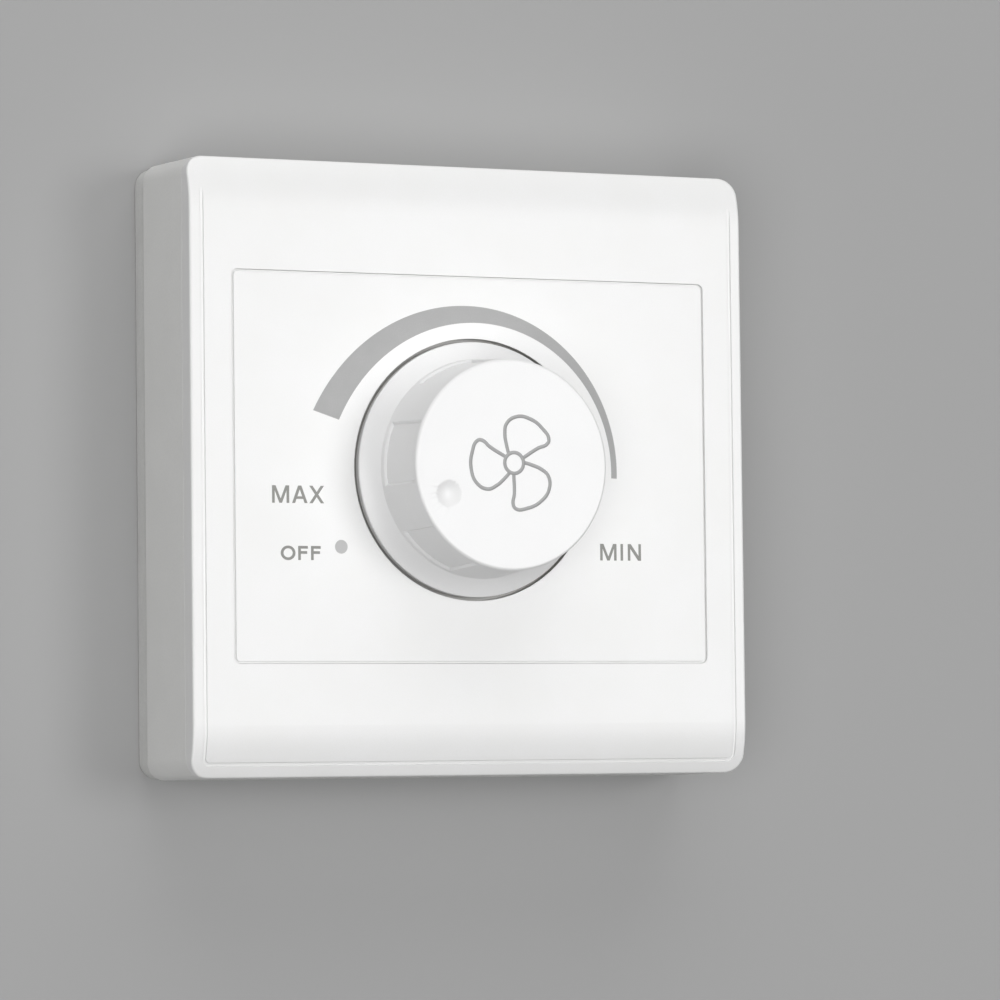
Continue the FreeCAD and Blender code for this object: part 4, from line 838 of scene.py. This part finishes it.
@dataclass
class RoundedKnob:
    """The knob's moulding, with full rounds on its edges and a low, sloping skirt.

    It is a copy of the solid. The solid's two outer edges are hollow and its skirt stands proud.
    On the real moulding both edges are rounded, and the skirt slopes from the recess to the grip.
    Levels and radii are in millimetres.

    Attributes:
        cap: Level of the cap, and the grip's radius at its edge.
        cap_round: Radius of the cap's edge.
        lip: Level and radius of the corner in which the solid's hollow skirt edge lies.
        lip_round: Radius of that hollow edge.
        foot: Level and radius at which the solid's skirt meets the grip.
        rim: Level and radius of the middle of the new rim's round.
        rim_round: Radius of the new rim.
        crease: Level and radius at which the new skirt meets the grip.
        slope: Steepness of the new skirt where it leaves the rim, in degrees.
        bow: How far the skirt hollows towards the grip, as a share of its rise.
        sharp: Angle above which an edge stays sharp, in degrees.
        near: How far past a form's edge a point still belongs to the form.
        core: Radius within which no point moves.
    """

    cap: tuple[float, float] = (32.2, 14.75)
    cap_round: float = 0.4
    lip: tuple[float, float] = (21.1, 18.0)
    lip_round: float = 0.5
    foot: tuple[float, float] = (22.1, 15.4)
    rim: tuple[float, float] = (20.3, 17.75)
    rim_round: float = 0.25
    crease: tuple[float, float] = (22.3, 15.45)
    slope: float = 29.0
    bow: float = 0.25
    sharp: float = 32.0
    near: float = 0.005
    core: float = 1.0

    def moved(self, level: float, radius: float) -> tuple[float, float]:
        """Find the new place of a point of the solid.

        Args:
            level: Its distance from the wall.
            radius: Its distance from the knob's axis.

        Returns:
            The new level and radius.
        """
        cap_level, grip = self.cap
        depth = self.cap_round + self.near
        if level > cap_level - depth and radius > grip - depth:
            turn = math.atan2(grip - radius, cap_level - level)
            return (cap_level + self.cap_round * (math.sin(turn) - 1),
                    grip + self.cap_round * (math.cos(turn) - 1))
        lip_level, lip = self.lip
        full = math.radians(90 - self.slope)
        depth = self.lip_round + self.near
        if level > lip_level - depth and radius > lip - depth:
            turn = math.atan2(lip - radius, lip_level - level) * full / (math.pi / 2)
            return (self.rim[0] + self.rim_round * math.sin(turn),
                    self.rim[1] + self.rim_round * math.cos(turn))
        if level > lip_level - self.near and radius > self.foot[1] - self.near:
            inside = lip - self.lip_round
            part = (inside - radius) / (inside - self.foot[1])
            start = (self.rim[0] + self.rim_round * math.sin(full),
                     self.rim[1] + self.rim_round * math.cos(full))
            climb = part * (1 + self.bow * (part - 1))
            return (start[0] + (self.crease[0] - start[0]) * climb,
                    start[1] + (self.crease[1] - start[1]) * part)
        return (level, radius)

    def build(self) -> None:
        """Copy the solid, round its edges and let it stand for the solid."""
        solid = frame["nodes"]["knob"].data
        work = bmesh.new()
        corners = [work.verts.new(vertex.co) for vertex in solid.vertices]
        for polygon in solid.polygons:
            work.faces.new([corners[index] for index in polygon.vertices])
        bmesh.ops.remove_doubles(work, verts=work.verts, dist=SOLID_WELD)
        for vertex in work.verts:
            x, y, z = vertex.co
            radius = math.hypot(x, z) / MM
            if radius > self.core:
                level, new_radius = self.moved(-y / MM, radius)
                vertex.co = (x * new_radius / radius, -level * MM, z * new_radius / radius)
        mesh = bpy.data.meshes.new("knob_moulding")
        work.to_mesh(mesh)
        work.free()
        mesh.shade_smooth()
        mesh.set_sharp_from_angle(angle=math.radians(self.sharp))
        carrier = add_object("carrier", mesh)
        carrier.modifiers.new("weights", "WEIGHTED_NORMAL").keep_sharp = True
        finished = evaluated(carrier)
        Finishes.KNOB.dress(finished)
        shell = Piece("knob_moulding", "dial", "knob_white").settle(finished)
        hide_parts("knob")


@dataclass
class FanMark:
    """The outline of a three-bladed fan printed on the knob's cap.

    Attributes:
        face: Level of the cap, in millimetres.
        film: Thickness of the ink, in millimetres.
        line: Width of the printed line, in millimetres.
        hub: Radius of the hub ring's middle line, in millimetres.
        hub_film: Thickness of the hub's ink, in films.
        hub_steps: Segments round the hub.
        aside: X and Z of the hub's middle, in millimetres.
        blades: Number of blades.
        blade: Points on the middle of one blade's line, as X and Z in millimetres.
        blade_steps: Segments from one of those points to the next.
    """

    face: float = 32.2
    film: float = 0.012
    line: float = 0.51
    hub: float = 1.45
    hub_film: float = 1.4
    hub_steps: int = 48
    aside: tuple[float, float] = (0.35, 0.25)
    blades: int = 3
    blade: Outline = (
        (-0.82, 1.22), (-1.18, 2.60), (-1.38, 3.95), (-1.12, 5.42), (0.40, 6.44), (2.55, 6.17),
        (4.45, 4.85), (5.42, 3.30), (5.06, 2.66), (3.80, 2.15), (1.30, 0.66),
    )
    blade_steps: int = 7

    def sweep(self, tree: NodeTree, curve: Node, line: NodeSocket, film: NodeSocket) -> Node:
        """Add the nodes that print a line along a curve.

        Args:
            tree: The mark's tree.
            curve: The flat curve.
            line: Width of the line.
            film: Thickness of its ink.

        Returns:
            The node that makes the line's mesh.
        """
        level = add_node(tree, "GeometryNodeSetCurveNormal", {"Curve": curve}, mode="Z_UP")
        flat = add_node(tree, "GeometryNodeCurvePrimitiveQuadrilateral", {
            "Width": line, "Height": film,
        })
        return add_node(tree, "GeometryNodeCurveToMesh", {
            "Curve": level, "Profile Curve": flat, "Fill Caps": True,
        })

    def group(self) -> NodeTree:
        """Build the tree that turns one drawn line into a fan outline.

        Returns:
            The tree, with the mark's sizes as its inputs.
        """
        tree, given = new_group("fan_outline", {
            "Blades": "Int", "Line": "Float", "Film": "Float", "Hub": "Float",
            "Hub Film": "Float", "Seat": "Vector",
        })
        size = given.outputs
        drawn = add_node(tree, "GeometryNodeMeshToCurve", {"Mesh": size["Geometry"]})
        blade = self.sweep(tree, drawn, size["Line"], size["Film"])
        seats = add_node(tree, "GeometryNodeMeshLine", {
            "Count": size["Blades"], "Offset": (0.0, 0.0, 0.0),
        }, mode="OFFSET")
        step = add_node(tree, "ShaderNodeMath", {
            0: 2 * math.pi, 1: size["Blades"],
        }, operation="DIVIDE")
        angle = add_node(tree, "ShaderNodeMath", {
            0: add_node(tree, "GeometryNodeInputIndex"), 1: step,
        }, operation="MULTIPLY")
        turn = add_node(tree, "ShaderNodeCombineXYZ", {"Z": angle})
        spread = add_node(tree, "GeometryNodeInstanceOnPoints", {
            "Points": seats, "Instance": blade, "Rotation": turn,
        })
        ring = add_node(tree, "GeometryNodeCurvePrimitiveCircle", {
            "Resolution": self.hub_steps, "Radius": size["Hub"],
        })
        # The hub's ink is thicker, because it lies over the ends of the blades' lines.
        hub = self.sweep(tree, ring, size["Line"], size["Hub Film"])
        joined = add_node(tree, "GeometryNodeJoinGeometry")
        for piece in (spread, hub):
            tree.links.new(piece.outputs[0], joined.inputs[0])
        stood = add_node(tree, "GeometryNodeTransform", {
            "Geometry": joined, "Rotation": (math.pi / 2, 0.0, 0.0), "Translation": size["Seat"],
        })
        close_tree(tree, stood, Finishes.INK)
        return tree

    def drawn_line(self) -> Mesh:
        """Draw one blade's smooth line.

        Returns:
            A chain of edges in the XY plane.
        """
        curve = bpy.data.curves.new("blade", "CURVE")
        curve.dimensions = "3D"
        curve.resolution_u = self.blade_steps
        spline = curve.splines.new("BEZIER")
        spline.bezier_points.add(len(self.blade) - 1)
        for point, (x, z) in zip(spline.bezier_points, self.blade):
            point.co = Vector((x, z, 0)) * MM
            point.handle_left_type = point.handle_right_type = "AUTO"
        return mesh_of(curve)

    def build(self) -> None:
        """Print the fan on the cap."""
        film = self.film * MM
        x, z = self.aside
        baked = bake(self.group(), self.drawn_line(), {
            "Blades": self.blades, "Line": self.line * MM, "Film": film, "Hub": self.hub * MM,
            "Hub Film": film * self.hub_film,
            "Seat": (x * MM, -(self.face + self.film / 2) * MM, z * MM),
        })
        Piece("fan_mark", "dial", "knob_white").settle(baked)


@dataclass
class SolderJoints:
    """Solder fillets round the pins on the back of the circuit board.

    Attributes:
        board_back: Level of the board's back, in millimetres.
        foot: Radius of a fillet on the board, in millimetres.
        height: Height of a fillet, in millimetres.
        neck: Radius of a fillet's top, as a share of its foot's.
        pinch: Twice the share by which a fillet narrows halfway up.
        spread: Smallest and largest scale of a fillet.
        seed: Seed of the scales.
        pins: X and Z of each pin, in millimetres.
    """

    board_back: float = 4.4
    foot: float = 1.05
    height: float = 0.95
    neck: float = 0.46
    pinch: float = 0.55
    spread: tuple[float, float] = (0.9, 1.08)
    seed: int = 3
    pins: Outline = (
        (-4.0, 0.0), (4.0, 0.0), (-5.0, 16.5), (5.0, 16.5), (15.9, 7.6), (20.9, 7.6),
        (17.9, -8.6), (22.9, -8.6), (8.1, -13.4), (13.1, -13.4), (-1.88, -17.0), (8.28, -17.0),
        (-1.88, -20.6), (8.28, -20.6), (-21.34, -6.7), (-18.8, -6.7), (-16.26, -6.7),
        (-18.74, -18.4), (-13.66, -18.4), (-18.8, -0.85), (-18.8, 12.45), (-5.0, -10.0),
        (0.0, -10.0), (5.0, -10.0),
    )

    def group(self) -> NodeTree:
        """Build the tree that sets a fillet on every point.

        Returns:
            The tree, with a fillet's sizes and the seed as its inputs.
        """
        tree, given = new_group("solder_fillets", {
            "Foot": "Float", "Height": "Float", "Seed": "Int",
        })
        size = given.outputs
        neck = add_node(tree, "ShaderNodeMath", {
            0: size["Foot"], 1: self.neck,
        }, operation="MULTIPLY")
        cone = add_node(tree, "GeometryNodeMeshCone", {
            "Vertices": 24, "Side Segments": 5, "Fill Segments": 1,
            "Radius Top": neck, "Radius Bottom": size["Foot"], "Depth": size["Height"],
        })
        place = add_node(tree, "GeometryNodeInputPosition")
        split = add_node(tree, "ShaderNodeSeparateXYZ", {"Vector": place})
        part = add_node(tree, "ShaderNodeMath", {
            0: split.outputs["Z"], 1: size["Height"],
        }, operation="DIVIDE")
        bow = add_node(tree, "ShaderNodeMath", {0: part, 1: 0.5}, operation="PINGPONG")
        waist = add_node(tree, "ShaderNodeMath", {
            0: bow, 1: -self.pinch, 2: 1.0,
        }, operation="MULTIPLY_ADD")
        shrink = add_node(tree, "ShaderNodeCombineXYZ", {"X": waist, "Y": waist, "Z": 1.0})
        pulled = add_node(tree, "ShaderNodeVectorMath", {
            0: place, 1: shrink,
        }, operation="MULTIPLY")
        fillet = add_node(tree, "GeometryNodeSetPosition", {
            "Geometry": cone.outputs["Mesh"], "Position": pulled,
        })
        scale = add_node(tree, "FunctionNodeRandomValue", {
            2: self.spread[0], 3: self.spread[1], "Seed": size["Seed"],
        }, data_type="FLOAT")
        spread = add_node(tree, "GeometryNodeInstanceOnPoints", {
            "Points": size["Geometry"], "Instance": fillet,
            "Rotation": (-math.pi / 2, 0.0, 0.0), "Scale": scale.outputs[1],
        })
        close_tree(tree, spread, Finishes.SOLDER)
        return tree

    def build(self) -> None:
        """Solder every pin."""
        seats = bpy.data.meshes.new("pins")
        seats.from_pydata([Vector((x, -self.board_back, z)) * MM for x, z in self.pins], [], [])
        baked = bake(self.group(), seats, {
            "Foot": self.foot * MM, "Height": self.height * MM, "Seed": self.seed,
        })
        Piece("solder_joints", "casing", "zinc_steel").settle(baked)


@dataclass(frozen=True)
class Lamp:
    """A round soft lamp that faces the switch.

    Attributes:
        name: Name of the lamp.
        turn: Degrees to the right of straight ahead, as seen by the switch's user.
        rise: Degrees above the middle of the switch.
        size: Diameter in metres.
        power: Power in watts.
        reach: Distance from the switch in metres.
    """

    name: str
    turn: float
    rise: float
    size: float
    power: float
    reach: float = 1.8

    def place(self) -> Vector:
        """Find the lamp's place.

        Returns:
            The place in metres.
        """
        turn, rise = math.radians(self.turn), math.radians(self.rise)
        way = (math.cos(rise) * math.sin(turn), -math.cos(rise) * math.cos(turn), math.sin(rise))
        return Vector(way) * self.reach


@dataclass
class Studio:
    """Wall, floor, lamps and camera.

    Attributes:
        wall_colour: Colour of the wall behind the switch.
        floor_colour: Colour of the floor where it is seen.
        floor_seen: Strength that keeps the floor pale where it is seen or mirrored.
        floor_bounce: Colour of the floor for the light that it throws back.
        air_colour: Colour of the air beyond the wall and the floor.
        air_seen: Strength of the air where it is seen or mirrored.
        air_fill: Strength of the air as a light.
        wall_gap: Distance from the switch's back to the wall, in metres.
        wall_hole: Half width of the hole in the wall under the switch, in metres.
        hole_corner: Radius of the hole's corners, in metres.
        hole_steps: Segments round a corner of the hole.
        wall_reach: Half width of the wall, in metres.
        floor_reach: Half width of the floor, in metres.
        floor_drop: Depth of the floor below the switch, in metres.
        camera_place: Place of the camera in metres.
        camera_turn: Turn of the camera in degrees.
        camera_lens: Focal length and width of the film, in millimetres.
        camera_range: Nearest and farthest distance that the camera sees, in metres.
        lamps: The lamps.
    """

    wall_colour: str = "#ADADAD"
    floor_colour: str = "#D6D6D6"
    floor_seen: float = 0.5
    floor_bounce: str = "#5A5A5A"
    air_colour: str = "#E6E6E6"
    air_seen: float = 0.80
    air_fill: float = 0.03
    wall_gap: float = 0.0002
    wall_hole: float = 0.04278
    hole_corner: float = 0.0024
    hole_steps: int = 8
    wall_reach: float = 0.9
    floor_reach: float = 4.0
    floor_drop: float = 0.80
    camera_place: tuple[float, float, float] = (-0.315347, -0.681709, -0.042726)
    camera_turn: tuple[float, float, float] = (93.0002, 0.6441, -25.7282)
    camera_lens: tuple[float, float] = (187.638768, 36.0)
    camera_range: tuple[float, float] = (0.01, 20.0)
    lamps: tuple[Lamp, ...] = (
        Lamp("front_softbox", 0, 0, 3.0, 16.6),
        Lamp("right_softbox", 26, 4, 0.7, 5.9),
        Lamp("left_softbox", -30, -10, 1.2, 13.0),
        Lamp("upper_lamp", 0, 70, 2.0, 16.6),
        Lamp("side_lamp", -75, 10, 1.2, 0.7),
        Lamp("rear_lamp", -145, 22, 1.2, 14.0),
    )

    def seen(self, tree: NodeTree) -> Node:
        """Find the rays that come from the camera, a mirroring or a clear surface.

        Args:
            tree: The tree that takes the nodes.

        Returns:
            A node that gives one on such a ray.
        """
        ray = add_node(tree, "ShaderNodeLightPath").outputs
        either = add_node(tree, "ShaderNodeMath", {
            0: ray["Is Camera Ray"], 1: ray["Is Glossy Ray"],
        }, operation="MAXIMUM")
        return add_node(tree, "ShaderNodeMath", {
            0: either, 1: ray["Is Transmission Ray"],
        }, operation="MAXIMUM")

    def wall_paint(self) -> Material:
        """Mix matt wall paint that is clear from behind, so that the back can be seen.

        Returns:
            The paint.
        """
        material = bpy.data.materials.new("wall_paint")
        tree = cleared(material)
        mix = add_node(tree, "ShaderNodeMixShader", {
            0: add_node(tree, "ShaderNodeNewGeometry").outputs["Backfacing"],
            1: add_node(tree, "ShaderNodeBsdfDiffuse", {"Color": linear(self.wall_colour)}),
            2: add_node(tree, "ShaderNodeBsdfTransparent"),
        })
        add_node(tree, "ShaderNodeOutputMaterial", {"Surface": mix})
        return material

    def floor_paint(self) -> Material:
        """Mix pale floor paint that throws little light back up.

        Returns:
            The paint.
        """
        material = bpy.data.materials.new("floor_paint")
        tree = cleared(material)
        matt = add_node(tree, "ShaderNodeBsdfDiffuse", {"Color": linear(self.floor_colour)})
        glow = add_node(tree, "ShaderNodeEmission", {
            "Color": linear(self.floor_colour), "Strength": self.floor_seen,
        })
        mix = add_node(tree, "ShaderNodeMixShader", {
            0: self.seen(tree),
            1: add_node(tree, "ShaderNodeBsdfDiffuse", {"Color": linear(self.floor_bounce)}),
            2: add_node(tree, "ShaderNodeAddShader", {0: matt, 1: glow}),
        })
        add_node(tree, "ShaderNodeOutputMaterial", {"Surface": mix})
        return material

    def panel(self, name: str, points: Sequence[tuple[float, float, float]],
              faces: Sequence[tuple[int, ...]], material: Material) -> None:
        """Add a flat stage piece.

        Args:
            name: Name of the object.
            points: Corners in metres.
            faces: Corner numbers of each face.
            material: Its paint.
        """
        mesh = bpy.data.meshes.new(name)
        mesh.from_pydata(points, [], faces)
        mesh.materials.append(material)
        thing = add_object(name, mesh)

    def hole_edge(self) -> Outline:
        """Walk round the wall's hole.

        Returns:
            X and Z of points on its edge, in metres.
        """
        side = self.wall_hole - self.hole_corner
        middles = ((side, side), (-side, side), (-side, -side), (side, -side))
        points = []
        for corner, (x, z) in enumerate(middles):
            for step in range(self.hole_steps + 1):
                turn = math.pi / 2 * (corner + step / self.hole_steps)
                points.append((x + self.hole_corner * math.cos(turn),
                               z + self.hole_corner * math.sin(turn)))
        return tuple(points)

    def wall_and_floor(self) -> None:
        """Build the wall with its hole under the switch, and the floor."""
        back, low, reach = self.wall_gap, -self.floor_drop, self.floor_reach
        grow = self.wall_reach / self.wall_hole
        edge = self.hole_edge()
        count = len(edge)
        inner = [(x, back, z) for x, z in edge]
        outer = [(x * grow, back, max(z * grow, low)) for x, z in edge]
        faces = [(place, (place + 1) % count, count + (place + 1) % count, count + place)
                 for place in range(count)]
        self.panel("wall", outer + inner, faces, self.wall_paint())
        corners = ((-reach, -reach), (reach, -reach), (reach, reach), (-reach, reach))
        self.panel("floor", [(*corner, low) for corner in corners], [(0, 1, 2, 3)],
                   self.floor_paint())

    def light(self) -> None:
        """Hang the lamps and set the world."""
        for lamp in self.lamps:
            light = bpy.data.lights.new(lamp.name, "AREA")
            light.shape = "DISK"
            light.size = lamp.size
            light.energy = lamp.power
            thing = add_object(lamp.name, light)
            thing.location = lamp.place()
            thing.rotation_euler = lamp.place().to_track_quat("Z", "Y").to_euler()
        world = bpy.data.worlds.new("studio_air")
        bpy.context.scene.world = world
        tree = cleared(world)
        fill, view = (add_node(tree, "ShaderNodeBackground", {
            "Color": linear(self.air_colour), "Strength": strength,
        }) for strength in (self.air_fill, self.air_seen))
        air = add_node(tree, "ShaderNodeMixShader", {0: self.seen(tree), 1: fill, 2: view})
        add_node(tree, "ShaderNodeOutputWorld", {"Surface": air})

    def camera(self) -> None:
        """Set the camera at the photograph's place."""
        lens = bpy.data.cameras.new("camera")
        lens.lens, lens.sensor_width = self.camera_lens
        lens.clip_start, lens.clip_end = self.camera_range
        thing = add_object("camera", lens)
        thing.location = self.camera_place
        thing.rotation_euler = [math.radians(angle) for angle in self.camera_turn]
        bpy.context.scene.camera = thing

    def build(self) -> None:
        """Build the whole studio."""
        self.wall_and_floor()
        self.light()
        self.camera()
        bpy.context.scene.view_settings.view_transform = "Standard"


def main() -> None:
    """Dress the switch, print it and light it."""
    logging.basicConfig(level=logging.INFO, format="%(name)s: %(message)s")
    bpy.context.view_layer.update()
    Finishes().dress_frame()
    DialPrint().build()
    RoundedKnob().build()
    FanMark().build()
    SolderJoints().build()
    Studio().build()


if __name__ == "__main__":
    main()
